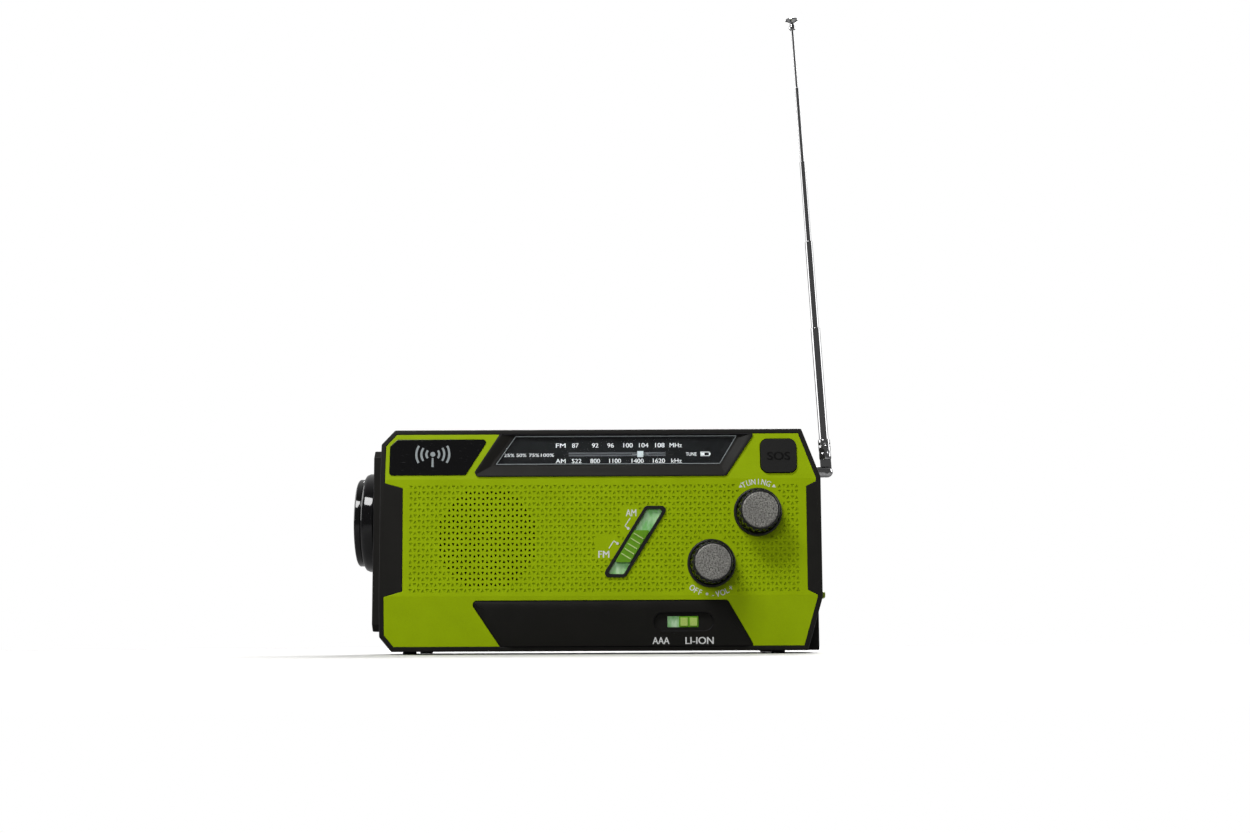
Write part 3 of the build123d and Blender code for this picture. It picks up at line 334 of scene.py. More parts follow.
def smooth_by_angle_nodes():
    """Node group that shades smooth, but keeps the sharp edges and the front's level creases crisp."""
    group = bpy.data.node_groups.new("smooth_by_angle", "GeometryNodeTree")
    group.interface.new_socket("Geometry", in_out="INPUT", socket_type="NodeSocketGeometry")
    group.interface.new_socket("Geometry", in_out="OUTPUT", socket_type="NodeSocketGeometry")
    add, link = group.nodes.new, group.links.new
    smooth_faces = add("GeometryNodeSetShadeSmooth")
    sharp_edges = add("GeometryNodeSetShadeSmooth")
    sharp_edges.domain = "EDGE"
    sharp_edges.inputs["Shade Smooth"].default_value = False
    angle = add("GeometryNodeInputMeshEdgeAngle").outputs["Unsigned Angle"]
    ends = add("GeometryNodeInputMeshEdgeVertices")
    run = add("ShaderNodeVectorMath")
    run.operation = "SUBTRACT"
    link(ends.outputs["Position 1"], run.inputs[0])
    link(ends.outputs["Position 2"], run.inputs[1])
    direction = add("ShaderNodeVectorMath")
    direction.operation = "NORMALIZE"
    link(run.outputs[0], direction.inputs[0])
    level = add("ShaderNodeVectorMath")
    level.operation = "ABSOLUTE"
    link(direction.outputs[0], level.inputs[0])
    split = add("ShaderNodeSeparateXYZ")
    link(level.outputs[0], split.inputs[0])

    def above(value, threshold):
        compare = add("FunctionNodeCompare")
        compare.inputs[1].default_value = threshold
        link(value, compare.inputs[0])
        return compare.outputs[0]

    def joined(operation, first, second):
        boolean = add("FunctionNodeBooleanMath")
        boolean.operation = operation
        link(first, boolean.inputs[0])
        link(second, boolean.inputs[1])
        return boolean.outputs[0]

    shallow = joined("NIMPLY", above(angle, CREASE[0]), above(angle, CREASE[1]))
    crease = joined("AND", shallow, above(split.outputs["X"], ALONG_AXIS))
    link(joined("OR", above(angle, SHARP), crease), sharp_edges.inputs["Selection"])
    link(add("NodeGroupInput").outputs[0], smooth_faces.inputs[0])
    link(smooth_faces.outputs[0], sharp_edges.inputs[0])
    link(sharp_edges.outputs[0], add("NodeGroupOutput").inputs[0])
    return group


smooth_by_angle = smooth_by_angle_nodes()


def soften(obj, width, flatten=True, weighted_edges=False):
    """Rounds the sharp edges of a piece and shades it smooth between them."""
    weld = obj.modifiers.new("weld", "WELD")
    weld.merge_threshold = SAME_POINT
    if width and flatten:
        planar = obj.modifiers.new("planar", "DECIMATE")
        planar.decimate_type = "DISSOLVE"
        planar.angle_limit = FLAT
    if width:
        bevel = obj.modifiers.new("bevel", "BEVEL")
        bevel.width = width
        bevel.segments = 2
        bevel.limit_method = "WEIGHT" if weighted_edges else "ANGLE"
        bevel.angle_limit = SHARP
        bevel.use_clamp_overlap = False
        bevel.miter_outer = "MITER_SHARP"
    shading = obj.modifiers.new("shading", "NODES")
    shading.node_group = smooth_by_angle
    normals = obj.modifiers.new("normals", "WEIGHTED_NORMAL")
    normals.keep_sharp = True


def paint(obj, finish):
    obj.data.materials.clear()
    obj.data.materials.append(finish.material)


def add_piece(name, bm, slot, body, finish=None, edge=0.0, flatten=True, weighted_edges=False,
              softened=True):
    """Turns a bmesh into a piece of the radio that rides on a CAD body."""
    bmesh.ops.recalc_face_normals(bm, faces=bm.faces)
    mesh = bpy.data.meshes.new(name)
    bm.to_mesh(mesh)
    bm.free()
    obj = bpy.data.objects.new(name, mesh)
    bpy.context.scene.collection.objects.link(obj)
    mesh.materials.append((finish or finishes[slot]).material)
    if softened:
        soften(obj, edge, flatten, weighted_edges)
    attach(obj, body)
    return obj


trees = {}


def front_of(node, x, z):
    """Point and normal where a ray from the front meets a CAD node."""
    if node not in trees:
        mesh = nodes[node].data
        corners = [vertex.co for vertex in mesh.vertices]
        trees[node] = BVHTree.FromPolygons(corners, [face.vertices for face in mesh.polygons])
    place, normal, _, _ = trees[node].ray_cast(Vector((x, -1, z)), Vector((0, 1, 0)))
    return place, normal


def face_frame(place, normal, turn=0.0):
    """Matrix of flat work on a face: local x runs right, y up the face and z outwards."""
    up = normal.cross(RIGHT).normalized()
    matrix = Matrix((RIGHT, up, normal)).transposed().to_4x4()
    return Matrix.Translation(place) @ matrix @ Matrix.Rotation(turn, 4, "Z")


def on_front(node, x, z, turn=0.0):
    """Face frame on a front-facing CAD node; x and z in millimetres, z from the underside of the case."""
    place, normal = front_of(node, x * MM, CASE_BOTTOM + z * MM)
    return face_frame(place, normal, turn)


def plate(bm, points, matrix, thickness=PRINT):
    """Closed plate from an anticlockwise outline in a face frame."""
    low = [bm.verts.new(matrix @ Vector((x, y, 0))) for x, y in points]
    high = [bm.verts.new(matrix @ Vector((x, y, thickness))) for x, y in points]
    bm.faces.new(high)
    bm.faces.new(low[::-1])
    for index in range(len(points)):
        after = (index + 1) % len(points)
        bm.faces.new((low[index], low[after], high[after], high[index]))


def disc(radius, steps=24):
    return [(radius * cos(2 * pi * i / steps), radius * sin(2 * pi * i / steps)) for i in range(steps)]


def box_outline(width, height, centre=(0, 0)):
    x, y = centre
    return [(x + sx * width / 2, y + sy * height / 2) for sx, sy in ((-1, -1), (1, -1), (1, 1), (-1, 1))]


def arc_band(radius, width, start, end, steps=16):
    """Outline of a curved stripe about the origin, from angle start to angle end."""
    angles = [start + (end - start) * i / steps for i in range(steps + 1)]
    outer = [((radius + width / 2) * cos(a), (radius + width / 2) * sin(a)) for a in angles]
    inner = [((radius - width / 2) * cos(a), (radius - width / 2) * sin(a)) for a in reversed(angles)]
    return outer + inner


def stroke(start, end, width):
    """Outline of a straight stripe between two points."""
    (x0, y0), (x1, y1) = start, end
    length = hypot(x1 - x0, y1 - y0)
    dx, dy = -(y1 - y0) / length * width / 2, (x1 - x0) / length * width / 2
    return [(x0 - dx, y0 - dy), (x1 - dx, y1 - dy), (x1 + dx, y1 + dy), (x0 + dx, y0 + dy)]


def lettering(bm, text, matrix, height, width=None, thickness=PRINT, bolder=BOLDER):
    """Text centred in a face frame. Height is that of a capital; width is that of the whole text."""
    curve = bpy.data.curves.new("lettering", "FONT")
    curve.body = text
    curve.resolution_u = 5
    curve.extrude = 0.5
    holder = bpy.data.objects.new("lettering", curve)
    bpy.context.scene.collection.objects.link(holder)
    depsgraph = bpy.context.evaluated_depsgraph_get()
    mesh = bpy.data.meshes.new_from_object(holder.evaluated_get(depsgraph))
    left = min(v.co.x for v in mesh.vertices)
    right = max(v.co.x for v in mesh.vertices)
    size = height / CAPITAL
    across = width / (right - left) if width else size
    scale = Matrix.Diagonal((across, size, thickness, 1))
    # the copies differ in thickness, so that no two faces coincide
    for shift, share in ((-bolder, 0.85), (0, 1), (bolder, 0.9)):
        centre = Matrix.Translation((shift - (left + right) / 2, -CAPITAL / 2, 0.5))
        copy = mesh.copy()
        copy.transform(matrix @ scale @ Matrix.Diagonal((1, 1, share, 1)) @ centre)
        bm.from_mesh(copy)
        bpy.data.meshes.remove(copy)
    bpy.data.objects.remove(holder)
    bpy.data.curves.remove(curve)
    bpy.data.meshes.remove(mesh)


def turned(bm, profile, matrix, steps=48):
    """Solid of revolution about local z from (height, radius) points that start and end on the axis."""
    rings = []
    for height, radius in profile:
        if radius == 0:
            rings.append([bm.verts.new(matrix @ Vector((0, 0, height)))])
        else:
            rings.append([bm.verts.new(matrix @ Vector((x, y, height))) for x, y in disc(radius, steps)])
    for lower, upper in zip(rings, rings[1:]):
        for index in range(steps):
            after = (index + 1) % steps
            corners = [lower[index % len(lower)], lower[after % len(lower)],
                       upper[after % len(upper)], upper[index % len(upper)]]
            bm.faces.new(list(dict.fromkeys(corners)))


# ---------------------------------------------------------------- front panel

TRIANGLE_STEP, TRIANGLE_ROW = 1.585 * MM, 2.14 * MM
COLUMNS, ROWS = range(-20, 75), range(-10, 11)      # counted from the middle of the speaker
DIMPLE_WIDTH, DIMPLE_HEIGHT, DIMPLE_DEPTH = 1.3 * MM, 1.3 * MM, 0.4 * MM
DIMPLE_FLOOR = 0.8                                  # size of a dimple's floor against its mouth
EDGE_GAP, KNOB_GAP = 0.75 * MM, 10.3 * MM           # dimples keep this far from edges and knob centres
LABEL_GAP, LABEL_REACH = 13.4 * MM, (radians(40), radians(46))
HOLE_CENTRES = 18.9 * MM                            # radius that the centres of the grille's holes keep to
GRILLE_RADIUS = 19.2 * MM
AROUND_GRILLE = 20.5 * MM
TEXTURE_LEFT, TEXTURE_RIGHT = -71.6, 74.2
TEXTURE_LOW, TEXTURE_HIGH = 21.6, 62.6
PLAIN_SPOT = (-72 * MM, 40 * MM)                    # on the panel's flat front, left of the texture
RIM_PIECE = 2.5 * MM                                # longest edge in the rim of the flat front
SMOOTH_AREAS = [                      # centre x, centre z, half width, half height of the plain areas
    (10.9, 48.5, 3.6, 4.8),
    (1.6, 38.0, 4.2, 4.4),
]


def from_speaker(place, speaker):
    return hypot(place.x - speaker.x, place.z - speaker.z)


def open_flat_front(bm, depth):
    """Removes the flat front, merges the other faces that are flat and returns the rim in short edges."""
    front = [face for face in bm.faces if face.normal.y < -ALONG_AXIS]
    flat = [face for face in front if abs(face.calc_center_median().y - depth) < SAME_DEPTH]
    bmesh.ops.delete(bm, geom=flat, context="FACES_KEEP_BOUNDARY")
    bmesh.ops.dissolve_limit(bm, angle_limit=FLAT, verts=[], edges=bm.edges)
    for edge in [e for e in bm.edges if e.is_boundary]:
        cuts = int(edge.calc_length() / RIM_PIECE)
        if cuts:
            bmesh.ops.subdivide_edges(bm, edges=[edge], cuts=cuts)
    return [edge for edge in bm.edges if edge.is_boundary]


def paint_shade_on_grille_walls(bm, speaker):
    """Paints shade on the walls of the holes over the speaker: they take the panel's dark third material."""
    bm.normal_update()
    for face in bm.faces:
        upright = abs(face.normal.y) < 0.1
        if upright and from_speaker(face.calc_center_median(), speaker) < GRILLE_RADIUS:
            face.material_index = 2


def dimple_places(rim, depth, speaker, knobs):
    """Places of the moulded triangles that stay clear of openings, labels and controls."""
    ends = [(edge.verts[0].co, edge.verts[1].co) for edge in rim]
    segments = [(first, last) for first, last in ends if from_speaker(first, speaker) > AROUND_GRILLE]

    def near_edge(x, z):
        for first, last in segments:
            dx, dz = last.x - first.x, last.z - first.z
            share = ((x - first.x) * dx + (z - first.z) * dz) / (dx * dx + dz * dz)
            share = max(0.0, min(1.0, share))
            if hypot(x - first.x - share * dx, z - first.z - share * dz) < EDGE_GAP + DIMPLE_WIDTH / 2:
                return True
        return False

    places = []
    for column in COLUMNS:
        for row in ROWS:
            x = speaker.x + column * TRIANGLE_STEP
            z = speaker.z + row * TRIANGLE_ROW
            across, height = x / MM, (z - CASE_BOTTOM) / MM
            inside = TEXTURE_LEFT < across < TEXTURE_RIGHT and TEXTURE_LOW < height < TEXTURE_HIGH
            on_grille = hypot(column * TRIANGLE_STEP, row * TRIANGLE_ROW) < HOLE_CENTRES
            plain = any(abs(across - cx) < wx and abs(height - cz) < wz for cx, cz, wx, wz in SMOOTH_AREAS)
            by_knob = any(hypot(x - knob.x, z - knob.z) < KNOB_GAP for knob in knobs)
            if not inside or on_grille or plain or by_knob or on_label(x, z, knobs) or near_edge(x, z):
                continue
            place, _ = front_of("front_panel", x, z)
            if place and abs(place.y - depth) < SAME_DEPTH:
                places.append((x, z, (column + row) % 2 == 0))
    return places


def on_label(x, z, knobs):
    """True over the curved labels, above the first knob and below the second."""
    for knob, sign, reach in zip(knobs, (1, -1), LABEL_REACH):
        away = atan2(x - knob.x, sign * (z - knob.z))
        if hypot(x - knob.x, z - knob.z) < LABEL_GAP and abs(away) < reach:
            return True
    return False


def triangle_corners(x, z, up, width, height):
    tip = height / 2 if up else -height / 2
    return [(x - width / 2, z - tip), (x + width / 2, z - tip), (x, z + tip)]


def surface_triangles(points, edges):
    """Triangles between the outer boundary and the loops inside it.

    A triangle's nesting is the least number of boundaries between it and the outside.
    The surface is where the nesting is one.
    """
    points, joined, faces, _, origins, _ = delaunay_2d_cdt(points, edges, [], 0, 1e-8)
    boundary = {frozenset(edge) for edge, origin in zip(joined, origins) if origin}
    beside = {}
    for number, face in enumerate(faces):
        for a, b in zip(face, face[1:] + face[:1]):
            beside.setdefault(frozenset((a, b)), []).append(number)
    hull = [(owners[0], edge) for edge, owners in beside.items() if len(owners) == 1]
    nesting = {}
    queue = deque()
    for number, edge in hull:
        if edge in boundary:
            queue.append((number, 1))
        else:
            queue.appendleft((number, 0))
    while queue:
        number, depth = queue.popleft()
        if number in nesting:
            continue
        nesting[number] = depth
        face = faces[number]
        for a, b in zip(face, face[1:] + face[:1]):
            edge = frozenset((a, b))
            for other in beside[edge]:
                if other not in nesting and edge in boundary:
                    queue.append((other, depth + 1))
                elif other not in nesting:
                    queue.appendleft((other, depth))
    return points, [face for number, face in enumerate(faces) if nesting[number] == 1]


def build_front_panel():
    """The CAD panel with its flat face rebuilt to carry the moulded triangle texture."""
    knobs = (middle("tuning_knob"), middle("volume_knob"))
    speaker = middle("speaker")
    bm = bmesh.new()
    bm.from_mesh(nodes["front_panel"].data)
    bmesh.ops.remove_doubles(bm, verts=bm.verts, dist=SAME_POINT)
    bm.normal_update()
    weight = bm.edges.layers.float.new("bevel_weight_edge")
    for edge in bm.edges:
        centre = (edge.verts[0].co + edge.verts[1].co) / 2
        sharp = len(edge.link_faces) == 2 and edge.calc_face_angle(0) > SHARP
        edge[weight] = 1.0 if sharp and from_speaker(centre, speaker) > AROUND_GRILLE else 0.0
    depth = front_of("front_panel", *PLAIN_SPOT)[0].y
    rim = open_flat_front(bm, depth)
    paint_shade_on_grille_walls(bm, speaker)
    rim_verts = list(dict.fromkeys(v for e in rim for v in e.verts))    # in the same order on every run
    number = {v: i for i, v in enumerate(rim_verts)}
    points = [Vector((v.co.x, v.co.z)) for v in rim_verts]
    edges = [(number[e.verts[0]], number[e.verts[1]]) for e in rim]
    places = dimple_places(rim, depth, speaker, knobs)
    for x, z, up in places:
        first = len(points)
        points += [Vector(p) for p in triangle_corners(x, z, up, DIMPLE_WIDTH, DIMPLE_HEIGHT)]
        edges += [(first, first + 1), (first + 1, first + 2), (first + 2, first)]
    flat_points, faces = surface_triangles(points, edges)
    made = [bm.verts.new((p[0], depth, p[1])) for p in flat_points]
    for face in faces:
        bm.faces.new([made[i] for i in face])
    for x, z, up in places:
        wide = triangle_corners(x, z, up, DIMPLE_WIDTH, DIMPLE_HEIGHT)
        narrow = triangle_corners(x, z, up, DIMPLE_WIDTH * DIMPLE_FLOOR, DIMPLE_HEIGHT * DIMPLE_FLOOR)
        mouth = [bm.verts.new((a, depth, b)) for a, b in wide]
        floor = [bm.verts.new((a, depth + DIMPLE_DEPTH, b)) for a, b in narrow]
        # each dimple's floor and walls take the second material: painted shade in the hollow
        bm.faces.new(floor).material_index = 1
        for index in range(3):
            after = (index + 1) % 3
            wall = bm.faces.new((mouth[index], mouth[after], floor[after], floor[index]))
            wall.material_index = 1
    bmesh.ops.remove_doubles(bm, verts=bm.verts, dist=SAME_POINT)
    open_edges = sum(len(e.link_faces) != 2 for e in bm.edges)
    print("front panel:", len(places), "dimples,", len(bm.faces), "faces,", open_edges, "open edges")
    panel = add_piece("front_panel_moulded", bm, "green_panel", "case", edge=0.22 * MM, flatten=False,
                      weighted_edges=True)
    # the second and third materials paint shade in the dimples and in the grille's holes
    for finish in (painted_shade_dimple_green, painted_shade_hole_green):
        panel.data.materials.append(finish.material)
    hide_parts("front_panel")


# ---------------------------------------------------------------- printed labels

FM_ROW, AM_ROW, POINTER_ROW, CHARGE_ROW = 77.0, 71.0, 73.5, 73.3
DIAL_MARKS = {                         # by the height of the row: (text, x, width) in millimetres
    FM_ROW: [("FM", -15.0, 3.6), ("87", -9.5, 2.4), ("92", -2.0, 2.4), ("96", 3.8, 2.4),
             ("100", 10.4, 3.5), ("104", 16.3, 3.5), ("108", 22.4, 3.5), ("MHz", 28.4, 4.6)],
    AM_ROW: [("AM", -15.0, 3.7), ("522", -9.0, 3.6), ("800", -2.0, 3.6), ("1100", 5.5, 4.4),
             ("1400", 14.0, 4.5), ("1620", 22.0, 4.5), ("kHz", 28.6, 3.9)],
}
CHARGE_MARKS = [("25%", -34.4, 3.9), ("50%", -29.8, 3.7), ("75%", -25.0, 3.8), ("100%", -20.0, 4.9)]
DIAL_TEXT, CHARGE_TEXT, TUNE_TEXT = 1.75 * MM, 1.3 * MM, 1.4 * MM
LABEL_TEXT = 2.75 * MM


def build_dial_print():
    bm = bmesh.new()
    for height, marks in DIAL_MARKS.items():
        for text, x, width in marks:
            lettering(bm, text, on_front("dial_scale", x, height), DIAL_TEXT, width * MM, bolder=0.01)
    for text, x, width in CHARGE_MARKS:
        lettering(bm, text, on_front("dial_scale", x, CHARGE_ROW), CHARGE_TEXT, width * MM, bolder=0.002)
    lettering(bm, "TUNE", on_front("dial_scale", 34.2, POINTER_ROW), TUNE_TEXT, 4.0 * MM, bolder=0.01)
    # battery sign: outlined cell, nub and charge
    sign = on_front("dial_scale", 39.4, POINTER_ROW)
    cell_width, cell_height, line = 3.4 * MM, 1.7 * MM, 0.25 * MM
    for side in (-1, 1):
        plate(bm, box_outline(cell_width, line, (0, side * (cell_height - line) / 2)), sign)
        plate(bm, box_outline(line, cell_height - 2 * line, (side * (cell_width - line) / 2, 0)), sign)
    plate(bm, box_outline(0.35 * MM, 0.8 * MM, (cell_width / 2 + 0.17 * MM, 0)), sign)
    plate(bm, box_outline(1.2 * MM, cell_height - 3 * line, (-0.8 * MM, 0)), sign)
    add_piece("dial_numbers", bm, "pointer_grey", "case", white_ink, softened=False)
    # grey stripes above and below the slit that the pointer runs in
    bm = bmesh.new()
    middle_x, offset = 6.25, 0.43
    for side in (-1, 1):
        stripe = on_front("dial_scale", middle_x, POINTER_ROW + side * offset)
        plate(bm, box_outline(36.5 * MM, 0.61 * MM), stripe)
    add_piece("dial_stripes", bm, "dial_print", "case", grey_ink)


def build_window_highlight():
    """Painted highlight: a bright line along the edge of the dial window, widest at the top, where the edge faces
    the light.
    """
    corners = [(-39.1, 69.75), (44.8, 69.75), (51.2, 80.35), (-32.0, 80.35)]
    bm = bmesh.new()
    for start, end in zip(corners, corners[1:] + corners[:1]):
        begin = on_front("dial_window", *start)
        reach = begin.inverted() @ on_front("dial_window", *end).translation
        # the painted highlight is widest along the top edge
        width = 0.3 * MM if min(start[1], end[1]) > FM_ROW else 0.2 * MM
        plate(bm, stroke((0, 0), (reach.x, reach.y), width), begin)
    add_piece("dial_window_highlight", bm, "steel", "case", silver_ink)


KNOB_LABEL_RADIUS, KNOB_TEXT, KNOB_NARROW = 11.5 * MM, 2.25 * MM, 0.8
TUNING_MARKS = [(letter, -26.5 + 9.6 * place) for place, letter in enumerate("TUNING")]
VOLUME_MARKS = [("O", -38.3), ("F", -29.7), ("F", -21.6), ("-", 2.6), ("V", 11.2), ("O", 20.8),
                ("L", 29.4), ("+", 38)]
ARROW_DEGREES, DOT_DEGREES = 33.5, -8.5


def beside_knob(knob, degrees_right, below=False):
    """Face frame on the label circle of a knob, at an angle to the right of its top, or of its foot."""
    angle = radians(degrees_right)
    x = knob.x + KNOB_LABEL_RADIUS * sin(angle)
    z = knob.z + KNOB_LABEL_RADIUS * cos(angle) * (-1 if below else 1)
    place, normal = front_of("front_panel", x, z)
    return face_frame(place, normal, angle if below else -angle)


def build_panel_print():
    bm = bmesh.new()
    tuning, volume = middle("tuning_knob"), middle("volume_knob")
    narrow = Matrix.Diagonal((KNOB_NARROW, 1, 1, 1))
    for knob, marks, below in ((tuning, TUNING_MARKS, False), (volume, VOLUME_MARKS, True)):
        for letter, degrees_right in marks:
            lettering(bm, letter, beside_knob(knob, degrees_right, below) @ narrow, KNOB_TEXT)
    arrow = [(-0.6 * MM, -0.7 * MM), (0.75 * MM, 0), (-0.6 * MM, 0.7 * MM)]
    plate(bm, arrow, beside_knob(tuning, ARROW_DEGREES))
    plate(bm, arrow, beside_knob(tuning, -ARROW_DEGREES) @ Matrix.Rotation(pi, 4, "Z"))
    plate(bm, disc(0.5 * MM), beside_knob(volume, DOT_DEGREES, below=True))
    lettering(bm, "AM", on_front("front_panel", 11.4, 51.3), LABEL_TEXT, 3.9 * MM)
    lettering(bm, "FM", on_front("front_panel", 1.2, 35.9), LABEL_TEXT, 4.0 * MM)
    leaders = (((11.1, 49.3), (9.1, 46.3), (10.3, 45.4)), ((3.1, 38.0), (4.9, 40.8), (6.3, 39.8)))
    for points in leaders:
        for start, end in zip(points, points[1:]):
            origin = on_front("front_panel", *start)
            reach = ((end[0] - start[0]) * MM, (end[1] - start[1]) * MM)
            plate(bm, stroke((0, 0), reach, 0.34 * MM), origin)
        plate(bm, disc(0.52 * MM), on_front("front_panel", *points[-1]))
    add_piece("panel_labels", bm, "pointer_grey", "case", white_ink, softened=False)


def build_switch_print():
    bm = bmesh.new()
    for text, x, width in (("AAA", 22.3, 6.2), ("LI-ION", 36.6, 10.4)):
        lettering(bm, text, on_front("switch_trim", x, 3.9), LABEL_TEXT, width * MM)
    add_piece("supply_labels", bm, "pointer_grey", "case", white_ink, softened=False)


BAND_SLOT_X, BAND_SLOT_Z, BAND_LEAN = 12.95, 40.5, radians(58.2)
BAND_RIBS, BAND_RIB_STEP = 5, 2.2
BAND_REST = -2.1                       # the band slider's middle at rest, up the slot from the slot's middle
SOURCE_PADS, SOURCE_ROW = (30.9, 34.4), 10.75


def build_slider_marks():
    """Pale tops of the band slider's ribs and of the supply slider's two pads."""
    bm = bmesh.new()
    for index in range(BAND_RIBS):
        along = BAND_REST + (index - (BAND_RIBS - 1) / 2) * BAND_RIB_STEP
        x, z = BAND_SLOT_X + along * cos(BAND_LEAN), BAND_SLOT_Z + along * sin(BAND_LEAN)
        plate(bm, box_outline(4.1 * MM, 0.36 * MM), on_front("band_slider", x, z, BAND_LEAN - pi / 2))
    add_piece("band_slider_lines", bm, "lime_slider", "band_slide_knob", pale_lime)
    bm = bmesh.new()
    for x in SOURCE_PADS:
        plate(bm, box_outline(2.7 * MM, 3.0 * MM), on_front("source_slider", x, SOURCE_ROW), 0.15 * MM)
    add_piece("source_slider_pads", bm, "lime_slider", "source_slide_knob", bright_lime, edge=0.1 * MM)


def build_button_relief():
    """Raised letters on the call button."""
    bm = bmesh.new()
    lettering(bm, "SOS", on_front("sos_button", 66.9, 72.5), 3.2 * MM, 8.4 * MM, RELIEF)
    add_piece("call_button_relief", bm, "black_rubber", "call_button", relief_black, softened=False)


def build_emblem():
    """Plain broadcast sign on the badge: a mast between curved waves."""
    bm = bmesh.new()
    centre = on_front("badge_plate", -63.0, 73.6)
    plate(bm, disc(0.95 * MM), centre, RELIEF)
    for wave in range(3):
        radius = (2.4 + 1.9 * wave) * MM
        half = radians(38 - 3 * wave)
        for facing in (0, pi):
            plate(bm, arc_band(radius, 0.8 * MM, facing - half, facing + half), centre, RELIEF)
    mast = [(-0.42, -4.9), (0.42, -4.9), (0.3, -1.4), (-0.3, -1.4)]
    plate(bm, [(x * MM, y * MM) for x, y in mast], centre, RELIEF)
    add_piece("badge_emblem", bm, "silver_cap", "case", silver_ink)


# ---------------------------------------------------------------- lamp, aerial and solar details

def build_torch_led():
    """Dome on the outer face of the torch's board."""
    bm = bmesh.new()
    centre = middle("torch_led_board")
    centre.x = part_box("torch_led_board")[0].x
    outwards = Matrix.Translation(centre) @ Matrix.Rotation(radians(-90), 4, "Y")
    dome = [(0, 0), (0, 1.4), (0.5, 1.35), (1.0, 0.95), (1.25, 0)]
    turned(bm, [(height * MM, radius * MM) for height, radius in dome], outwards)
    add_piece("torch_led_dome", bm, "led_board", "case", phosphor)


def aerial_frame():
    """Frame on the aerial's pivot with local z up its leaning tubes."""
    fold = next(joint for joint in frame["joints"] if joint["name"] == "antenna_fold")
    slide = next(joint for joint in frame["joints"] if joint["name"] == "antenna_slide_2")
    up = Vector(slide["axis"]).normalized()
    forward = Vector((0, 1, 0))
    matrix = Matrix((forward.cross(up), forward, up)).transposed().to_4x4()
    return Matrix.Translation(fold["pos_m"]) @ matrix


def build_ferrule():
    """Foot of the aerial: a flat eye on the pivot and a sleeve crimped with two rows of dimples."""
    local = aerial_frame()
    bm = bmesh.new()
    sleeve_radius, steps, rows = 2.45 * MM, 72, 40
    low, high = 5.1 * MM, 13.5 * MM
    foot_chamfer, top_chamfer = 0.3 * MM, 0.4 * MM
    crimp_size, crimp_depth, crimp_count = 0.5 * MM, 0.38 * MM, 6
    crimps = []
    for odd, height in enumerate((8.0 * MM, 11.0 * MM)):
        crimps += [(height, 2 * pi * (i + 0.5 * odd) / crimp_count) for i in range(crimp_count)]
    rings = []
    for row in range(rows + 1):
        z = low + (high - low) * row / rows
        ring = []
        for x, y in disc(1.0, steps):
            angle = atan2(y, x)
            radius = sleeve_radius - max(0, foot_chamfer - (z - low)) - max(0, top_chamfer - (high - z))
            for height, turn in crimps:
                around = (angle - turn + pi) % (2 * pi) - pi
                distance = hypot(around * sleeve_radius, z - height) / crimp_size
                radius -= crimp_depth * exp(-distance ** 2)
            ring.append(bm.verts.new(local @ Vector((x * radius, y * radius, z))))
        rings.append(ring)
    for lower, upper in zip(rings, rings[1:]):
        for index in range(steps):
            after = (index + 1) % steps
            bm.faces.new((lower[index], lower[after], upper[after], upper[index]))
    bm.faces.new(rings[0][::-1])
    bm.faces.new(rings[-1])
    # flat blade with a round eye
    half_width, half_thickness = 2.2 * MM, 0.7 * MM
    eye = [(half_width * cos(radians(a)), half_width * sin(radians(a))) for a in range(180, 361, 12)]
    outline = eye + [(half_width, 5.6 * MM), (-half_width, 5.6 * MM)]
    side = local @ Matrix.Translation((0, half_thickness, 0)) @ Matrix.Rotation(radians(90), 4, "X")
    plate(bm, outline, side, 2 * half_thickness)
    ferrule = add_piece("antenna_ferrule_crimped", bm, "chrome", "antenna_1", edge=0.12 * MM)
    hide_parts("antenna_ferrule")


def build_lamp_leds():
    """Two rows of small lamps between the lid and the frosted lens of its reading lamp."""
    low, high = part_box("reading_lamp_lens")
    bm = bmesh.new()
    columns, rows, gap = 6, 2, 0.02 * MM
    for column in range(columns):
        for row in range(rows):
            x = low.x + (high.x - low.x) * (column + 0.5) / columns
            y = low.y + (high.y - low.y) * (row + 0.5) / rows
            place = Matrix.Translation((x, y, high.z + gap))
            plate(bm, box_outline(3.0 * MM, 2.6 * MM), place, 0.6 * MM)
    add_piece("reading_lamp_leds", bm, "led_board", "lid", lamp_die)


def build_door_arrow():
    """Raised arrow that shows which way the battery door slides."""
    low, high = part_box("battery_door")
    rear = Matrix(((-1, 0, 0), (0, 0, 1), (0, 1, 0))).transposed().to_4x4()
    place = Matrix.Translation(((low.x + high.x) / 2, high.y, (low.z + high.z) / 2)) @ rear
    bm = bmesh.new()
    arrow = [(0, -3), (6, -3), (6, -6), (12, 0), (6, 6), (6, 3), (0, 3)]
    plate(bm, [(x * MM, y * MM) for x, y in arrow], place, 0.4 * MM)
    add_piece("battery_door_arrow", bm, "black_case", "battery_cover", edge=0.15 * MM)


def build_solar_lines():
    """Silver collector strips on the solar cells."""
    low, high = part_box("solar_cell")
    bm = bmesh.new()
    top = Matrix.Translation(((low.x + high.x) / 2, (low.y + high.y) / 2, high.z))
    width, depth = high.x - low.x, high.y - low.y
    cells = 6
    for index in range(1, cells):
        seam = (width * (index / cells - 0.5), 0)
        plate(bm, box_outline(0.5 * MM, depth - 2 * MM, seam), top, 0.03 * MM)
    for share in (-0.25, 0.25):
        plate(bm, box_outline(width - 3 * MM, 0.9 * MM, (0, share * depth)), top, 0.05 * MM)
    add_piece("solar_collectors", bm, "steel", "lid")


# ---------------------------------------------------------------- CAD nodes

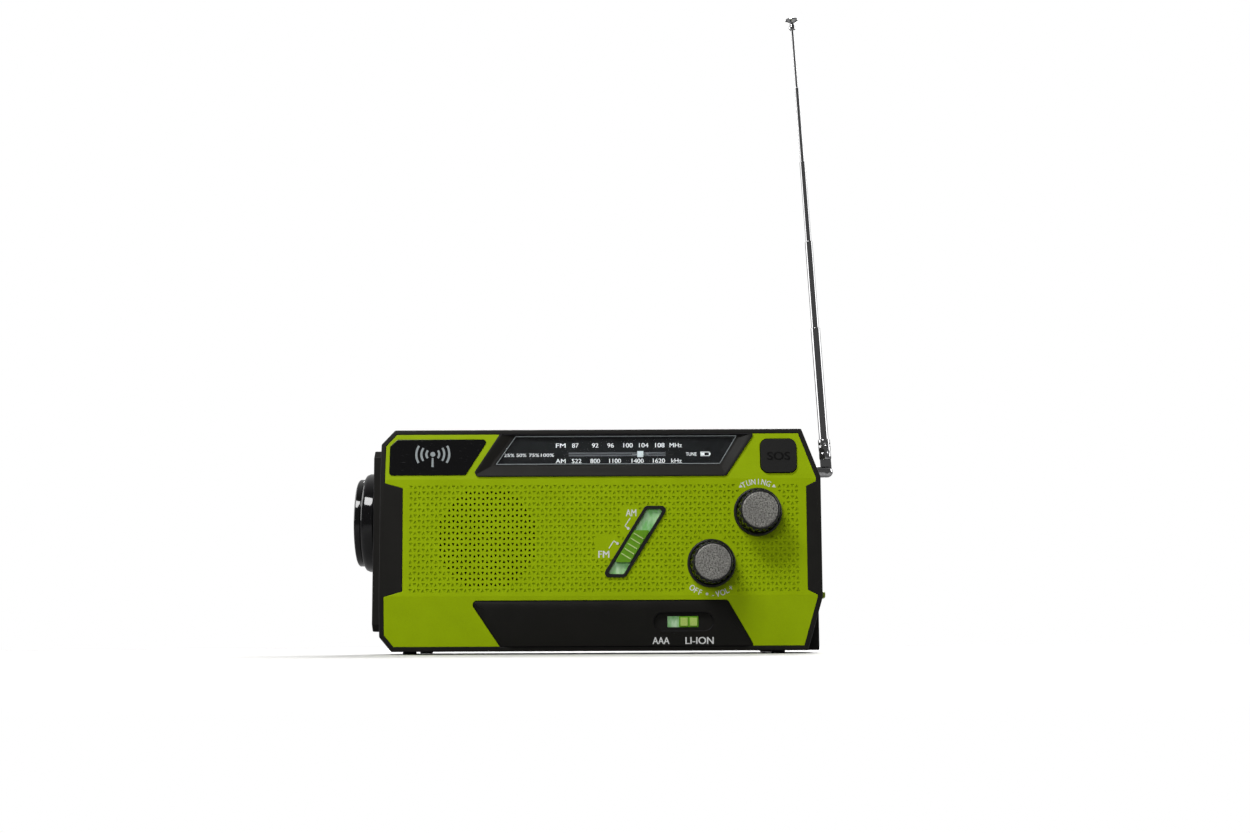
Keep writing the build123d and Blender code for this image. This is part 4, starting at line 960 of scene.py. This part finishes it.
EDGE_WIDTHS = {                        # rounding of each node's sharp edges, in millimetres
    "front_frame": 0.35, "rear_shell": 0.4, "light_end_cap": 0.45, "crank_end_cap": 0.4,
    "badge_plate": 0.15, "dial_bezel": 0.1, "dial_window": 0.12, "dial_pointer": 0.08,
    "switch_trim": 0.25, "sos_button": 0.25, "control_surrounds": 0.15, "slot_strips": 0.1,
    "tuning_knob": 0.12, "volume_knob": 0.12, "tuning_knob_cap": 0.12, "volume_knob_cap": 0.12,
    "band_slider": 0.12, "source_slider": 0.12,
    "battery_door": 0.25, "port_cover": 0.25, "solar_lid": 0.35, "solar_cell": 0.15, "crank_hub": 0.25,
    "crank_arm": 0.35, "crank_knob": 0.25, "torch_body": 0.2, "torch_bezel": 0.2, "rubber_feet": 0.25,
    "port_sockets": 0.1, "antenna_post": 0.1,
}
KEPT_FACES = ("dial_bezel", "band_slider")      # merging their flat faces would close their hollows


def dress_cad_nodes():
    for name, obj in nodes.items():
        mesh = obj.data
        if mesh.attributes.get("custom_normal"):
            mesh.attributes.remove(mesh.attributes["custom_normal"])
        paint(obj, node_finishes.get(name) or finishes[node_slots[name]])
        if name != "front_panel":
            soften(obj, EDGE_WIDTHS.get(name, 0) * MM, flatten=name not in KEPT_FACES)


# ---------------------------------------------------------------- studio

LIT_POINT = Vector((0, 0, 0.05))
LIGHTS = {          # place, width and height, power, and whether glossy faces mirror it
    "key": ((-0.45, -0.8, 1.0), (0.5, 0.4), 7.5, True),
    "fill": ((-0.2, -1.1, 0.3), (0.45, 0.2), 3, False),
    "rear": ((0.2, 0.9, 0.7), (0.7, 0.5), 14, True),
    "right": ((1.1, 0.25, 0.5), (0.8, 0.8), 7, True),
    "left": ((-1.1, 0.25, 0.5), (0.8, 0.8), 5, True),
}
CAMERA_PLACE = Vector((9.3 * MM, -685.5 * MM, 5.5 * MM))
CAMERA_UP, CAMERA_ROLL = radians(7.3), radians(-0.25)
FLOOR_RADIUS, FADE_START, FADE_END = 1.2, 0.2, 0.55
DIM_FRONT, BRIGHT_REAR = 0.06, 0.4


def area_light(name, place, size, power, mirrored):
    light = bpy.data.lights.new(name, "AREA")
    light.shape = "RECTANGLE"
    light.size, light.size_y = size
    light.energy = power
    obj = bpy.data.objects.new(name, light)
    bpy.context.scene.collection.objects.link(obj)
    obj.location = place
    obj.rotation_mode = "QUATERNION"
    obj.rotation_quaternion = (LIT_POINT - Vector(place)).to_track_quat("-Z", "Y")
    obj.visible_camera = False
    obj.visible_glossy = mirrored


def build_floor():
    """Pale floor that fades into the white surroundings and throws little light back up at the radio."""
    bm = bmesh.new()
    bmesh.ops.create_circle(bm, cap_ends=True, segments=96, radius=FLOOR_RADIUS)
    mesh = bpy.data.meshes.new("floor")
    bm.to_mesh(mesh)
    bm.free()
    floor = bpy.data.objects.new("floor", mesh)
    bpy.context.scene.collection.objects.link(floor)
    floor.location.z = -0.1 * MM
    finish = Finish("floor", (0.9, 0.89, 0.88), 0.7)
    paper = finish.blend(finish.noise(0.05, 3), (0.88, 0.87, 0.86), (0.92, 0.91, 0.9))
    seen = finish.node("LightPath").outputs["Is Camera Ray"]
    finish.set("Base Color", finish.blend(seen, (0.2, 0.2, 0.2), paper))
    distance = finish.node("VectorMath", {0: finish.place}, operation="LENGTH").outputs["Value"]
    fade = finish.spread(distance, FADE_START, FADE_END, 0, 1)
    see_through = finish.node("BsdfTransparent").outputs[0]
    mixed = finish.node("MixShader", {0: fade, 1: finish.shader.outputs[0], 2: see_through}).outputs[0]
    finish.feed(finish.tree.nodes["Material Output"].inputs["Surface"], mixed)
    mesh.materials.append(finish.material)


def build_world():
    """White to the camera. For light and reflections it is bright behind the radio and dim in front."""
    world = bpy.data.worlds.new("studio")
    bpy.context.scene.world = world
    world.use_nodes = True
    tree = world.node_tree
    add, link = tree.nodes.new, tree.links.new
    split = add("ShaderNodeSeparateXYZ")
    link(add("ShaderNodeTexCoord").outputs["Generated"], split.inputs[0])
    strength = add("ShaderNodeMapRange")
    limits = {"From Min": -0.35, "From Max": 0.5, "To Min": DIM_FRONT, "To Max": BRIGHT_REAR}
    for key, value in limits.items():
        strength.inputs[key].default_value = value
    link(split.outputs["Y"], strength.inputs["Value"])
    surround = add("ShaderNodeBackground")
    link(strength.outputs["Result"], surround.inputs["Strength"])
    seen = add("ShaderNodeBackground")
    seen.inputs["Strength"].default_value = 1.0
    for background in (surround, seen):
        background.inputs["Color"].default_value = (1, 1, 1, 1)
    chosen = add("ShaderNodeMixShader")
    link(add("ShaderNodeLightPath").outputs["Is Camera Ray"], chosen.inputs[0])
    link(surround.outputs[0], chosen.inputs[1])
    link(seen.outputs[0], chosen.inputs[2])
    link(chosen.outputs[0], tree.nodes["World Output"].inputs["Surface"])


def build_camera():
    data = bpy.data.cameras.new("camera")
    data.lens, data.sensor_width = 50, 36
    data.clip_start = 0.01
    camera = bpy.data.objects.new("camera", data)
    bpy.context.scene.collection.objects.link(camera)
    turn = Matrix.Rotation(pi / 2 + CAMERA_UP, 4, "X") @ Matrix.Rotation(CAMERA_ROLL, 4, "Z")
    camera.matrix_world = Matrix.Translation(CAMERA_PLACE) @ turn
    bpy.context.scene.camera = camera


def build_studio():
    build_world()
    build_floor()
    build_camera()
    for name, settings in LIGHTS.items():
        area_light(name, *settings)
    bpy.context.scene.view_settings.view_transform = "Standard"


build_front_panel()
dress_cad_nodes()
build_dial_print()
build_panel_print()
build_switch_print()
build_window_highlight()
build_slider_marks()
build_button_relief()
build_emblem()
build_torch_led()
build_lamp_leds()
build_door_arrow()
build_ferrule()
build_solar_lines()
build_studio()
